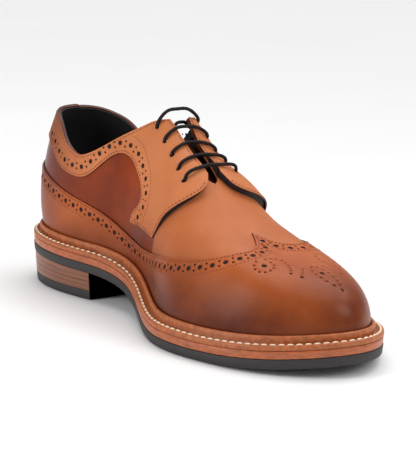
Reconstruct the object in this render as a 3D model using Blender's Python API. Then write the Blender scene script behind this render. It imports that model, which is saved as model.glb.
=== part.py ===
"""A left derby shoe with long wing tips, a ribbed storm welt, a rubber sole and a stacked heel.

Lengths in the tables are in last units, and SIZE turns them into metres. x runs from the back of the heel to the
toe, y to the wearer's left, which is the outer side, and z up from the ground.
"""
import bpy
import numpy as np

SIZE = 0.00095
GAP = 0.3

# heights of the layers under the upper
TOP_PIECE = 6.0
OUTSOLE = 5.8
MIDSOLE = 4.5
FLANGE = 3.2
SEAT = OUTSOLE + MIDSOLE + GAP
INSOLE = 3.6

# line of the outsole's underside
HEEL_BACK_Z = 21.0
HEEL_BREAST_Z = 18.0
BREAST_X = 82.0
TREAD_START = 188.0
TREAD_END = 218.0
TIP_X = 290.0
TOE_SPRING = 7.5

# how far each edge stands out from the foot of the upper
WELT_EDGE = 9.8
MIDSOLE_EDGE = 9.4
OUTSOLE_EDGE = 9.8
STACK_EDGE = 8.8
GROUND_EDGE = 7.8

# wall of the upper and of what lies on it
WALL = 2.2
OVERLAY = 1.2
TONGUE_DEPTH = 7.0
TONGUE_THICK = 1.9
THROAT_HALF = 4.0
THROAT_END = 180.0
FACING_TOP = 130.0

# foot of the upper: x, inner side, outer side
FOOT_LINE = (
    (-1, 0, 0),
    (8, -20, 19),
    (36, -32, 31.5),
    (75, -29, 32.5),
    (115, -23, 35),
    (160, -38, 47.5),
    (195, -50, 52.5),
    (230, -46.5, 49),
    (260, -35.5, 38.5),
    (280, -19, 23),
    (TIP_X, 4, 4),
)

# ridge of the last: x, height, side shift
RIDGE = (
    (50, 170, 0),
    (90, 149, 1),
    (115, 134, 2),
    (130, 123, 1.5),
    (150, 105, 0),
    (165, 92, -2),
    (178, 81, -4),
    (192, 71.5, -6),
    (215, 60, -5),
)

# side profile: x, bulge, height of the bulge, side, share of the height, roundness of the top
PROFILE = (
    (0, 10, 20, 1.28, 0.36, 0.70),
    (36, 6, 20, 1.08, 0.38, 0.72),
    (75, 4, 24, 1.06, 0.54, 0.78),
    (115, 3.5, 26, 1.02, 0.66, 0.52),
    (150, 3.5, 26, 0.98, 0.74, 0.34),
    (195, 3, 20, 0.94, 0.81, 0.36),
    (230, 3.5, 18, 0.92, 0.77, 0.42),
    (260, 4, 17, 0.94, 0.77, 0.50),
    (290, 5, 17, 0.95, 0.77, 0.54),
)
POLE_HEEL = 50.0
POLE_TOE = 190.0
POLE_SOFT = 9.0

# collar line: x, height
COLLAR = (
    (-8, 114), (10, 114), (25, 104.5), (45, 94.5), (62, 91.5), (80, 97), (97, 106.5), (115, 116), (128, 122.5),
    (131, 130), (134, 170),
)

# top edge of the wing: x, girth up from the foot; the last rows climb to the peak on the vamp
WING = (
    (-1, 52), (15, 46), (53, 36), (77, 31), (99, 24.5), (118, 21), (149, 28), (179, 37), (205, 42), (226, 48),
    (252, 60), (270, 73), (282, 87), (288, 96), (290, 101),
)

# lower edge of the facing and collar strip: x, girth up from the foot
FACING = (
    (-1, 68), (15, 66), (30, 60), (43, 52), (56, 48.5), (70, 49.5), (77, 54), (86, 62), (93, 67.5), (104, 70),
    (112, 66), (118, 57), (121, 44), (122.5, 33), (148.5, 37), (155, 46), (162.5, 55), (170, 67), (174.5, 78),
    (178, 88), (182, 90),
)
FACING_FRONT = 176.5

# eyelets: x, distance from the throat's centre line; the first is the top one
EYELETS = ((122, 20), (132, 20), (141.5, 19.5), (152, 19), (162, 19))
EYELET_R = 2.5
LACE_R = 1.3
BAR_HEIGHT = 8.0
HIDDEN_DEPTH = 4.7

WING_ROWS = 4
SIDE_ROWS = 2
FACING_ROWS = 3
SOLE_STATIONS = (-20, 82, 92, 102, 112, 122, 132, 142, 152, 162, 172, 182, 188, 218, 228, 238, 248, 258, 268, 278,
                 288, 310)


def spline(knots, values, at):
    """Smooth curve through the values, which may be numbers or vectors."""
    knots = np.asarray(knots, float)
    values = np.asarray(values, float)
    at = np.asarray(at, float)
    count = len(knots)
    step = np.diff(knots)
    slope = (np.diff(values, axis=0).T / step).T
    matrix = np.eye(count)
    right = np.zeros_like(values)
    for i in range(1, count - 1):
        matrix[i, i - 1:i + 2] = step[i - 1], 2 * (step[i - 1] + step[i]), step[i]
        right[i] = 6 * (slope[i] - slope[i - 1])
    bend = np.linalg.solve(matrix, right)
    k = np.clip(np.searchsorted(knots, at) - 1, 0, count - 2)
    a = at - knots[k]
    b = knots[k + 1] - at
    w = step[k]
    if values.ndim > 1:
        a, b, w = a[..., None], b[..., None], w[..., None]
    cubic = (bend[k] * b ** 3 + bend[k + 1] * a ** 3) / (6 * w)
    return cubic + (values[k] / w - bend[k] * w / 6) * b + (values[k + 1] / w - bend[k + 1] * w / 6) * a


def column(table, index):
    return np.array([row[index] for row in table], float)


def table_line(table, at):
    """Straight lines between the rows of a two column table."""
    return np.interp(at, column(table, 0), column(table, 1))


def bottom(x):
    """Height of the outsole's underside: heel seat, arch, flat tread and toe spring."""
    x = np.asarray(x, float)
    fall = (HEEL_BREAST_Z - HEEL_BACK_Z) / BREAST_X
    seat = HEEL_BACK_Z + fall * x
    span = TREAD_START - BREAST_X
    t = np.clip((x - BREAST_X) / span, 0, 1)
    arch = HEEL_BREAST_Z * (2 * t ** 3 - 3 * t ** 2 + 1) + fall * span * (t ** 3 - 2 * t ** 2 + t)
    spring = TOE_SPRING * np.clip((x - TREAD_END) / (TIP_X + 10 - TREAD_END), 0, 2) ** 2
    return np.where(x < BREAST_X, seat, arch) + spring


def sole_height(x):
    """The same line in flat steps between stations, so that stacked layers keep their gap."""
    return np.interp(x, SOLE_STATIONS, bottom(SOLE_STATIONS))


def foot_loop():
    """Closed loop of the foot line, with the knots where the outer and the inner side end."""
    table = np.array(FOOT_LINE, float)
    outer = table[:, [0, 2]]
    inner = table[:, [0, 1]]
    loop = np.vstack([outer, inner[-2:0:-1]])
    wrap = 4
    points = np.vstack([loop[-wrap:], loop, loop[:wrap + 1]])
    length = np.r_[0, np.cumsum(np.linalg.norm(np.diff(points, axis=0), axis=1))]
    length -= length[wrap]
    return length, points, length[wrap + len(outer) - 1], length[wrap + len(loop)]


LOOP_KNOTS, LOOP_POINTS, LOOP_HALF, LOOP_END = foot_loop()


def foot_point(side, s):
    """Plan point of the foot line; s runs from 0 at the heel to 1 at the toe."""
    s = np.asarray(s, float)
    outer = s * LOOP_HALF
    inner = LOOP_END - s * (LOOP_END - LOOP_HALF)
    return spline(LOOP_KNOTS, LOOP_POINTS, np.where(np.asarray(side) > 0, outer, inner))


def outward(side, s):
    """Unit plan vector straight out of the foot line."""
    step = 1e-3
    along = foot_point(side, s + step) - foot_point(side, s - step)
    out = np.stack([-along[..., 1], along[..., 0]], -1) * np.asarray(side, float)[..., None]
    return out / np.linalg.norm(out, axis=-1, keepdims=True)


def soft_between(x, low, high):
    x = low + POLE_SOFT * np.logaddexp(0, (x - low) / POLE_SOFT)
    return high - POLE_SOFT * np.logaddexp(0, (high - x) / POLE_SOFT)


def ribs(side, s):
    """Upright rib of the last: base point, plan direction and the five handles of its profile."""
    foot = foot_point(side, s)
    base_x = soft_between(foot[..., 0], POLE_HEEL, POLE_TOE)
    ridge = spline(column(RIDGE, 0), np.array(RIDGE, float)[:, 1:], base_x)
    ahead = spline(column(RIDGE, 0), column(RIDGE, 1), base_x + 0.5)
    behind = spline(column(RIDGE, 0), column(RIDGE, 1), base_x - 0.5)
    base = np.stack([base_x, ridge[..., 1]], -1)
    reach = np.linalg.norm(foot - base, axis=-1)
    direction = (foot - base) / reach[..., None]
    shape = spline(column(PROFILE, 0), np.array(PROFILE, float)[:, 1:], np.clip(foot[..., 0], 0, TIP_X))
    bulge, low, wide, share, roundness = np.moveaxis(shape, -1, 0)
    low_z = bottom(foot[..., 0]) + SEAT
    top_z = ridge[..., 0]
    lean = top_z + (ahead - behind) * direction[..., 0] * reach * roundness
    rho = np.stack([reach, reach + bulge, reach * wide, reach * roundness, 0 * reach], -1)
    z = np.stack([low_z, low_z + low, low_z + share * (top_z - low_z), lean, top_z], -1)
    return base, direction, rho, z


def along_rib(handles, t):
    u = 1 - t
    return (handles[..., 0] * u ** 4 + 4 * handles[..., 1] * u ** 3 * t + 6 * handles[..., 2] * u ** 2 * t ** 2
            + 4 * handles[..., 3] * u * t ** 3 + handles[..., 4] * t ** 4)


class Rib:
    """One rib sampled from the foot to the ridge, to look up a height, girth or opening on it."""

    def __init__(self, side, s):
        self.side = side
        self.s = s
        self.base, self.direction, self.rho, self.z = ribs(np.float64(side), np.float64(s))
        self.foot = foot_point(np.float64(side), np.float64(s))
        self.out = outward(np.float64(side), np.float64(s))
        self.steps = np.linspace(0, 1, 241)
        self.points = self.at(self.steps)
        stretch = np.linalg.norm(np.diff(self.points, axis=0), axis=1)
        self.girth = np.r_[0, np.cumsum(stretch)]

    def at(self, t):
        rho = along_rib(self.rho, t)
        z = along_rib(self.z, t)
        plan = self.base + rho[..., None] * self.direction
        return np.concatenate([plan, z[..., None]], -1)

    def t_at_girth(self, girth):
        return float(np.interp(girth, self.girth, self.steps))

    def t_at_height(self, height):
        return float(np.interp(height, np.maximum.accumulate(self.points[:, 2]), self.steps))

    def t_open(self):
        """Where the rib meets the collar or the throat, or 1 where the vamp is closed."""
        x, z = self.points[:, 0], self.points[:, 2]
        over = z - np.interp(x, column(COLLAR, 0), column(COLLAR, 1))
        if self.base[0] > FACING_TOP - 4:
            half = THROAT_HALF * np.sqrt(np.clip(1 - (np.clip(x - THROAT_END + 6, 0, 6) / 6) ** 2, 0, 1))
            inside = half - np.hypot(*(self.points[:, :2] - self.base).T)
            if self.base[0] < THROAT_END - 0.2:
                over = np.maximum(over, inside)
        if self.base[0] > THROAT_END - 0.2 or over.max() <= 0:
            return 1.0
        k = int(np.argmax(over > 0))
        share = over[k - 1] / (over[k - 1] - over[k])
        return float(self.steps[k - 1] + share * (self.steps[k] - self.steps[k - 1]))


def inner_s_at(x):
    """Inner side parameter at each x, found on a fine sample."""
    s = np.linspace(0, 1, 2001)
    return np.interp(x, np.maximum.accumulate(foot_point(-1.0, s)[:, 0]), s)


def outer_s_at(x):
    s = np.linspace(0, 1, 2001)
    return np.interp(x, np.maximum.accumulate(foot_point(1.0, s)[:, 0]), s)


def column_positions():
    """x of each rib, the same on both sides: close together at the heel, the toe and the facing's edges."""
    heel = foot_point(-1.0, np.linspace(0, inner_s_at(50.0), 8))[:, 0]
    side = (57, 64, 72, 80, 88, 96, 104, 111, 116.5, 120, 122.5, 127, 134, 141, 148.5, 155, 162.5, 168, 173, 176.5,
            179, 183, 190, 198)
    toe = foot_point(-1.0, np.linspace(inner_s_at(206.0), 1, 12))[:, 0]
    return np.r_[heel, side, toe]


def rib_ring(xs):
    """Ribs right round the shoe: heel to toe on the inner side, then back on the outer side."""
    inner = [Rib(-1, s) for s in inner_s_at(xs)]
    outer = [Rib(1, s) for s in outer_s_at(xs)]
    return inner + outer[-2:0:-1]


def rows_of(rib):
    """Row parameters on one rib: foot to wing edge, wing edge to facing, facing to the opening."""
    top = rib.t_open()
    low = rib.t_at_height(rib.points[0, 2] + FLANGE + 0.8)
    x = rib.foot[0]
    wing = min(rib.t_at_girth(table_line(WING, x)), top - 0.02)
    facing = rib.t_at_girth(table_line(FACING, x))
    facing = min(max(facing, wing + 0.2 * (top - wing)), top - 0.012)
    facing = max(facing, wing + 0.3 * (top - wing) * (x > FACING_FRONT))
    lower = np.linspace(low, wing, WING_ROWS + 1)
    middle = np.linspace(wing, facing, SIDE_ROWS + 1)[1:]
    upper = np.linspace(facing, top, FACING_ROWS + 1)[1:]
    return np.r_[0, lower, middle, upper]


class Sheet:
    """Grid of points on the last, welded where ribs meet, that is thickened into a closed body."""

    def __init__(self, columns, level_foot=False, whole=None):
        """columns holds one array of points for each rib; level_foot keeps the first row level, and whole is the
        sheet that this one is a part of, which then gives the normals."""
        self.vertices = []
        self.faces = []
        self.level = set()
        self.lookup = {}
        self.whole = whole
        grid = [[self.vertex(p) for p in points] for points in columns]
        for left, right in zip(grid, grid[1:]):
            for low, high in zip(range(len(left) - 1), range(1, len(left))):
                for ring in ([left[low], right[low], right[high]], [left[low], right[high], left[high]]):
                    if len(set(ring)) == 3:
                        self.faces.append(ring)
        if level_foot:
            self.level = {row[0] for row in grid}
        self.points = np.array(self.vertices)

    @staticmethod
    def key(point):
        return tuple(int(round(c * 20)) for c in point)

    def vertex(self, point):
        key = self.key(point)
        if key not in self.lookup:
            self.lookup[key] = len(self.vertices)
            self.vertices.append(point)
        return self.lookup[key]

    def normals(self):
        if self.whole:
            normal = self.whole.normals()
            return np.array([normal[self.whole.lookup[self.key(p)]] for p in self.points])
        total = np.zeros_like(self.points)
        for ring in self.faces:
            corners = self.points[ring]
            face = np.zeros(3)
            for i in range(len(ring)):
                face += np.cross(corners[i - 1], corners[i])
            total[ring] += face / max(np.linalg.norm(face), 1e-9)
        for i in self.level:
            total[i, 2] = 0
        return total / np.linalg.norm(total, axis=1, keepdims=True)

    def border(self):
        """Edges with one face, in the direction of that face."""
        seen = {}
        for ring in self.faces:
            for i in range(len(ring)):
                seen[(ring[i - 1], ring[i])] = True
        return [edge for edge in seen if (edge[1], edge[0]) not in seen]

    def thicken(self, near, far):
        """Closed body between two distances from the sheet; each may be a number or one for each point."""
        normal = self.normals()
        count = len(self.points)
        near = np.broadcast_to(near, count)
        far = np.broadcast_to(far, count)
        points = np.vstack([self.points + normal * far[:, None], self.points + normal * near[:, None]])
        faces = [list(ring) for ring in self.faces]
        faces += [[i + count for i in reversed(ring)] for ring in self.faces]
        faces += [[b, a, a + count, b + count] for a, b in self.border()]
        return points, faces


def outline_centre():
    s = np.linspace(0, 1, 400)
    edge = np.vstack([foot_point(side, s) + WELT_EDGE * outward(side * np.ones(400), s) for side in (-1.0, 1.0)])
    return (edge.min(axis=0) + edge.max(axis=0)) / 2


CENTRE = outline_centre()


def to_metres(points):
    points = np.array(points, float)
    points[:, :2] -= CENTRE
    return points * SIZE


MATERIALS = {
    "tan_leather": ((0.42, 0.13, 0.045), 0.38),
    "lining_leather": ((0.02, 0.02, 0.022), 0.7),
    "welt_leather": ((0.55, 0.24, 0.09), 0.5),
    "midsole_leather": ((0.36, 0.12, 0.05), 0.5),
    "stacked_leather": ((0.28, 0.11, 0.055), 0.5),
    "sole_rubber": ((0.045, 0.043, 0.045), 0.7),
    "lace_cotton": ((0.03, 0.02, 0.018), 0.6),
}


def material(name):
    found = bpy.data.materials.get(name)
    if found:
        return found
    colour, roughness = MATERIALS[name]
    made = bpy.data.materials.new(name)
    made.use_nodes = True
    shader = made.node_tree.nodes["Principled BSDF"]
    shader.inputs["Base Color"].default_value = (*colour, 1)
    shader.inputs["Roughness"].default_value = roughness
    return made


def add_body(name, slot, points, faces, smooth):
    mesh = bpy.data.meshes.new(name)
    mesh.from_pydata([tuple(p) for p in to_metres(points)], [], [tuple(f) for f in faces])
    mesh.validate()
    made = bpy.data.objects.new(name, mesh)
    bpy.context.scene.collection.objects.link(made)
    mesh.materials.append(material(slot))
    for polygon in mesh.polygons:
        polygon.use_smooth = smooth
    return made


def add_cutter(name, points, faces):
    cutter = add_body(name, "lining_leather", points, faces, False)
    cutter.hide_render = True
    cutter.display_type = "WIRE"
    return cutter


def cut(body, cutter):
    modifier = body.modifiers.new(cutter.name, "BOOLEAN")
    modifier.operation = "DIFFERENCE"
    modifier.solver = "EXACT"
    modifier.object = cutter


def ridge_point(x, distance, side):
    """Point on the last at a distance round from the throat's centre line, and the normal there."""
    rib = Rib(side, float(inner_s_at(x) if side < 0 else outer_s_at(x)))
    t = rib.t_at_girth(rib.girth[-1] - distance)
    ahead = Rib(side, rib.s + 0.004)
    here = rib.at(np.float64(t))
    up = rib.at(np.float64(t + 0.004)) - here
    along = ahead.at(np.float64(t)) - here
    normal = np.cross(along, up) * -side
    return here, normal / np.linalg.norm(normal)


def eyelet_places():
    """(inner, outer) pairs of point and normal, from the top eyelet down."""
    return [[ridge_point(x, distance, side) for side in (-1, 1)] for x, distance in EYELETS]


def lift_at(x):
    """How far the facing's front edge stands off the vamp."""
    return 1.6 * np.clip((x - 140) / 30, 0, 1)


def upper_sheet(columns):
    return Sheet(columns + columns[:1], level_foot=True)


def build_upper(columns):
    points, faces = upper_sheet(columns).thicken(-WALL, 0)
    return add_body("upper", "tan_leather", points, faces, True)


def build_wing(columns):
    kept = [points[1:WING_ROWS + 2] for points in columns]
    sheet = Sheet(kept + kept[:1], whole=upper_sheet(columns))
    points, faces = sheet.thicken(GAP, GAP + OVERLAY)
    return add_body("long_wing", "tan_leather", points, faces, True)


def build_facing(ring, columns):
    half = len(ring) // 2
    order = list(range(half, len(ring))) + list(range(half + 1))
    kept = [columns[i][-FACING_ROWS - 1:] for i in order if ring[i].foot[0] <= FACING_FRONT]
    sheet = Sheet(kept, whole=upper_sheet(columns))
    lift = lift_at(sheet.points[:, 0])
    points, faces = sheet.thicken(GAP + lift, GAP + OVERLAY + lift)
    return add_body("facing_collar", "tan_leather", points, faces, True)


def build_eyelet_cutters():
    """One cutter for all eyelets: short round posts through the facings and the upper."""
    points = []
    faces = []
    sides = 10
    for pair in eyelet_places():
        for place, normal in pair:
            across = np.cross(normal, (0, 0, 1.0))
            across /= np.linalg.norm(across)
            over = np.cross(normal, across)
            first = len(points)
            for depth in (-5.0, 5.5):
                for k in range(sides):
                    turn = 2 * np.pi * k / sides
                    radial = across * np.cos(turn) + over * np.sin(turn)
                    points.append(place + normal * depth + radial * EYELET_R)
            low = [first + k for k in range(sides)]
            high = [i + sides for i in low]
            faces += [low, high[::-1]]
            faces += [[low[k], high[k], high[k - 1], low[k - 1]] for k in range(sides)]
    return add_cutter("eyelet_cutter", points, faces)


def build_tongue():
    xs = (138, 141, 145, 150, 155, 160, 165, 170, 175, 180, 184, 188)
    columns = []
    for x in xs:
        inner = Rib(-1, float(inner_s_at(x)))
        outer = Rib(1, float(outer_s_at(x)))
        wide = 26 - 6 * np.clip((x - 170) / 18, 0, 1)
        distances = np.array([1, 0.75, 0.5, 0.25, 0]) * wide
        left = [inner.at(np.float64(inner.t_at_girth(inner.girth[-1] - d))) for d in distances]
        right = [outer.at(np.float64(outer.t_at_girth(outer.girth[-1] - d))) for d in distances[-2::-1]]
        columns.append(np.array(left + right))
    sheet = Sheet(columns)
    rise = np.clip((sheet.points[:, 0] - 168) / 16, 0, 1)
    top = -TONGUE_DEPTH + (TONGUE_DEPTH - WALL - 6 * GAP) * rise * rise * (3 - 2 * rise)
    points, faces = sheet.thicken(top - TONGUE_THICK, top)
    return add_body("tongue", "tan_leather", points, faces, True)


def side_points(side, edge, x_from, x_to):
    """Outline points of one side at a distance from the foot line, with a point at each station."""
    s = np.linspace(0, 1, 45)
    line = foot_point(side * np.ones(45), s) + edge * outward(side * np.ones(45), s)
    x = np.maximum.accumulate(line[:, 0])
    extra = [v for v in SOLE_STATIONS if x_from < v < x_to and x[0] < v < x[-1]]
    extra += [v for v in (x_from, x_to) if x[0] < v < x[-1]]
    inside = [v for v in x if x_from <= v <= x_to and min(abs(v - e) for e in extra + [1e9]) > 1.0]
    at = np.unique(np.r_[extra, inside])
    across = [np.interp(v, line[:, 0], line[:, 1]) for v in at]
    return np.stack([at, across], -1)


def slab(name, slot, edge, low, high, x_from=-50.0, x_to=400.0):
    """Layer of the sole between two heights above the sole line, in flat strips between stations."""
    inner = side_points(-1.0, edge, x_from, x_to)
    outer = side_points(1.0, edge, x_from, x_to)
    if x_from < -20:
        start = (inner[0] + outer[0]) / 2
        inner[0] = outer[0] = start
    if x_to > 310:
        end = (inner[-1] + outer[-1]) / 2
        inner[-1] = outer[-1] = end
    return add_body(name, slot, *strips(inner, outer, low, high), False)


def strips(inner, outer, low, high):
    """Closed body of strips; low and high are functions of x."""
    points = []
    lookup = {}

    def vertex(plan, height, level):
        key = (round(plan[0], 4), round(plan[1], 4), level)
        if key not in lookup:
            lookup[key] = len(points)
            points.append((plan[0], plan[1], float(height(plan[0]))))
        return lookup[key]

    first = max(inner[0][0], outer[0][0])
    last = min(inner[-1][0], outer[-1][0])
    cuts = [v for v in SOLE_STATIONS if first < v < last]
    bounds = [-1e9] + cuts + [1e9]
    faces = []
    for a, b in zip(bounds, bounds[1:]):
        below = [p for p in inner if a <= p[0] <= b]
        above = [p for p in outer if a <= p[0] <= b]
        loop = below + above[::-1]
        for level, height in ((0, low), (1, high)):
            ring = [vertex(p, height, level) for p in loop]
            ring = [v for i, v in enumerate(ring) if v != ring[i - 1]]
            faces.append(ring if level else ring[::-1])
    boundary = list(inner) + list(outer[::-1])
    for p, q in zip(boundary, boundary[1:] + boundary[:1]):
        corners = [vertex(p, low, 0), vertex(q, low, 0), vertex(q, high, 1), vertex(p, high, 1)]
        if corners[0] != corners[1]:
            faces.append(corners)
    return points, faces


def build_soles():
    slab("outsole", "sole_rubber", OUTSOLE_EDGE, sole_height, lambda x: sole_height(x) + OUTSOLE - GAP)
    slab("midsole", "midsole_leather", MIDSOLE_EDGE, lambda x: sole_height(x) + OUTSOLE,
         lambda x: sole_height(x) + OUTSOLE + MIDSOLE)
    slab("insole", "lining_leather", -WALL - 0.6, lambda x: sole_height(x) + SEAT,
         lambda x: sole_height(x) + SEAT + INSOLE)


def build_heel():
    """Four lifts and the top piece, each a little narrower than the one above."""
    def level(share):
        return lambda x: TOP_PIECE + share * (bottom(x) - TOP_PIECE)

    lifts = 4
    for k in range(lifts):
        low = level(k / lifts)
        high = level((k + 1) / lifts)
        edge = GROUND_EDGE + (STACK_EDGE - GROUND_EDGE) * (k + 0.7) / lifts
        slab(f"heel_lift_{lifts - k}", "stacked_leather", edge, low, lambda x, h=high: h(x) - GAP, x_to=BREAST_X)
    slab("heel_top_piece", "sole_rubber", GROUND_EDGE, lambda x: 0.0, lambda x: TOP_PIECE - GAP, x_to=BREAST_X)


def build_welt():
    """Ring with a flat flange, a groove for the stitches and a rib that covers the foot of the wing."""
    inner = [Rib(-1, s) for s in np.linspace(0, 1, 32)]
    outer = [Rib(1, s) for s in np.linspace(0, 1, 32)]
    ring = inner + outer[-2:0:-1]
    clear = GAP + OVERLAY + 2.5 * GAP
    # distance from the upper or from the foot line, height above the midsole
    hugging = ((2 * GAP, 0), (2 * GAP, FLANGE - GAP), (clear, FLANGE), (clear, FLANGE + 3.4))
    standing = ((clear + 1.2, FLANGE + 4.2), (clear + 2.6, FLANGE + 3.0))
    flat = ((WELT_EDGE - 4.2, FLANGE - 0.9), (WELT_EDGE - 2.6, FLANGE - 0.9), (WELT_EDGE - 1.8, FLANGE),
            (WELT_EDGE - 0.3, FLANGE - 0.2), (WELT_EDGE, FLANGE - 1.0), (WELT_EDGE, 0))
    points = []
    for rib in ring:
        square = float(rib.direction @ rib.out)
        for distance, height in hugging + standing:
            t = rib.t_at_height(rib.points[0, 2] + min(height, FLANGE + 3.4))
            spread = (along_rib(rib.rho, t) - rib.rho[0]) * square
            points.append((*(rib.foot + rib.out * (spread + distance)), height))
        for distance, height in flat:
            points.append((*(rib.foot + rib.out * distance), height))
    points = np.array(points)
    points[:, 2] += sole_height(points[:, 0]) + SEAT
    size = len(hugging + standing + flat)
    faces = []
    count = len(ring)
    for j in range(count):
        for i in range(size):
            a, b = j * size + i, j * size + (i + 1) % size
            c, d = (j + 1) % count * size + (i + 1) % size, (j + 1) % count * size + i
            faces.append((a, b, c, d))
    return add_body("storm_welt", "welt_leather", points, faces, True)


def smooth_path(knots, per_span):
    """Rounded path through the knots."""
    knots = np.array(knots, float)
    length = np.r_[0, np.cumsum(np.linalg.norm(np.diff(knots, axis=0), axis=1) ** 0.5)]
    at = np.concatenate([np.linspace(a, b, per_span, endpoint=False) for a, b in zip(length, length[1:])])
    return spline(length, knots, np.r_[at, length[-1]])


def lace_knots():
    """Up through an eyelet, over the throat, down the other side and slantwise to the next pair."""
    knots = []
    for number, pair in enumerate(eyelet_places()):
        x = EYELETS[number][0]
        crown = Rib(-1, float(inner_s_at(x))).points[-1] + np.array([0.0, 0.0, BAR_HEIGHT - 0.7 * number])
        runs = []
        for place, up in pair:
            shoulder = place + up * 5.8 + (crown - place) * 0.2
            runs.append([place - up * HIDDEN_DEPTH, place + up * 1.0, shoulder])
        knots += runs[0] + [crown] + runs[1][::-1]
        if number + 1 < len(EYELETS):
            knots += hidden_run(x, EYELETS[number + 1][0])
    return knots


def hidden_run(x_from, x_to):
    """Slantwise under the facings from the outer to the next inner eyelet, just over the tongue."""
    knots = []
    for share, side, distance in ((0.15, 1, 13), (0.35, 1, 6), (0.5, 1, 0.3), (0.65, -1, 6), (0.85, -1, 13)):
        place, up = ridge_point(x_from + share * (x_to - x_from), distance, side)
        knots.append(place - up * (HIDDEN_DEPTH + 0.5 * (distance < 10)))
    return knots


def build_lace():
    curve = bpy.data.curves.new("lace", "CURVE")
    curve.dimensions = "3D"
    curve.bevel_depth = LACE_R * SIZE
    curve.bevel_resolution = 2
    curve.use_fill_caps = True
    path = to_metres(smooth_path(lace_knots(), 3))
    run = curve.splines.new("POLY")
    run.points.add(len(path) - 1)
    for point, place in zip(run.points, path):
        point.co = (*place, 1)
    made = bpy.data.objects.new("lace", curve)
    bpy.context.scene.collection.objects.link(made)
    curve.materials.append(material("lace_cotton"))


def build():
    for old in list(bpy.data.objects):
        bpy.data.objects.remove(old)
    ring = rib_ring(column_positions())
    columns = [rib.at(rows_of(rib)) for rib in ring]
    upper = build_upper(columns)
    build_wing(columns)
    facing = build_facing(ring, columns)
    cutter = build_eyelet_cutters()
    cut(upper, cutter)
    cut(facing, cutter)
    build_tongue()
    build_soles()
    build_heel()
    build_welt()
    build_lace()


build()
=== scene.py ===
"""Looks of the brogue shoe: leather panels with punched holes, stitching, welt, sole layers and lace.

Lengths are in last units, and SIZE turns them into metres. x runs from the back of the heel to the toe,
y to the wearer's left, which is the outer side, and z up from the ground.
"""
import math

import bpy
import numpy as np
from mathutils import Matrix, Vector
from mathutils.geometry import delaunay_2d_cdt

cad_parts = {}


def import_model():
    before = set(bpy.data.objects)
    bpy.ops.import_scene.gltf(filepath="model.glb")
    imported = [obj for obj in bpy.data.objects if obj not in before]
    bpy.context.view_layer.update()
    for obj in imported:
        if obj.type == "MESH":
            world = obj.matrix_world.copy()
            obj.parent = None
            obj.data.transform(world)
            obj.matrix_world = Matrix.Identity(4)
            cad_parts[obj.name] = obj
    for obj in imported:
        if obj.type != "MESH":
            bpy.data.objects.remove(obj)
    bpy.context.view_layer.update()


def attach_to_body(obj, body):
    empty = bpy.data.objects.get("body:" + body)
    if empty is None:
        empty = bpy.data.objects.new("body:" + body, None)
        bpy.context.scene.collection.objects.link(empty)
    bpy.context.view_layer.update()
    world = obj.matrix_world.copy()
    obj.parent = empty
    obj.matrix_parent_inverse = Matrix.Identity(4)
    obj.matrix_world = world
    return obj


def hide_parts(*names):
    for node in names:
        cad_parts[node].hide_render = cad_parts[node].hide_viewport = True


SIZE = 0.00095
GAP = 0.3

# thickness of the layers from the ground up; the flange is the flat part of the welt
TOP_PIECE = 6.0
OUTSOLE = 5.8
MIDSOLE = 4.5
FLANGE = 3.2
INSOLE = 3.6
SEAT = OUTSOLE + MIDSOLE + GAP

# underside of the outsole: heel seat, front of the heel, flat tread and toe spring
HEEL_BACK_Z = 21.0
HEEL_BREAST_Z = 18.0
BREAST_X = 82.0
TREAD_START = 188.0
TREAD_END = 218.0
TIP_X = 290.0
TOE_SPRING = 7.5

# how far each edge stands out from the foot of the upper
WELT_EDGE = 9.8
MIDSOLE_EDGE = 9.4
OUTSOLE_EDGE = 9.8
STACK_EDGE = 8.8
GROUND_EDGE = 7.8

# throat between the facings: its ends, the length of its round end, and x with half its width
THROAT_START = 105.0
THROAT_END = 170.0
THROAT_ROUND = 6.0
THROAT = ((120, 7.5), (130, 6.0), (142, 4.5), (165, 4.2))

# crown of the instep pressed flatter than the bare last: middle, length, depth, and its reach down
# the inner and the outer side
CROWN_X = 138.0
CROWN_LONG = 21.0
CROWN_DEPTH = 6.6
CROWN_REACH = (12.0, 30.0)

# forward lean of the heel's top: its amount, the height where it starts and grows over, and its reach in x
HEEL_LEAN = 7.0
LEAN_START_Z = 70.0
LEAN_OVER_Z = 40.0
LEAN_REACH_X = 45.0

# foot of the upper: x, inner side, outer side
FOOT_LINE = (
    (-1, 0, 0),
    (8, -20, 19),
    (36, -32, 31.5),
    (75, -29, 32.5),
    (115, -23, 35),
    (160, -38, 47.5),
    (195, -50, 52.5),
    (230, -46.5, 49),
    (260, -35.5, 38.5),
    (280, -19, 23),
    (TIP_X, 4, 4),
)

# ridge of the last: x, height, side shift
RIDGE = (
    (50, 170, 0),
    (90, 149, 1),
    (115, 134, 2),
    (130, 123, 1.5),
    (150, 105, 0),
    (165, 92, -2),
    (178, 81, -4),
    (192, 71.5, -6),
    (215, 60, -5),
)

# side profile: x, bulge, height of the bulge, side, share of the height, roundness of the top
PROFILE = (
    (0, 10, 20, 1.28, 0.36, 0.70),
    (36, 6, 20, 1.08, 0.38, 0.72),
    (75, 4, 24, 1.06, 0.54, 0.78),
    (115, 3.5, 26, 1.02, 0.66, 0.52),
    (150, 3.5, 26, 0.98, 0.74, 0.34),
    (195, 3, 20, 0.94, 0.81, 0.36),
    (230, 3.5, 18, 0.92, 0.77, 0.42),
    (260, 4, 17, 0.94, 0.77, 0.50),
    (290, 5, 17, 0.95, 0.77, 0.54),
)

# the ribs of heel and toe fan out from these two places on the centre line, with a soft change
POLE_HEEL = 50.0
POLE_TOE = 190.0
POLE_SOFT = 9.0

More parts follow.
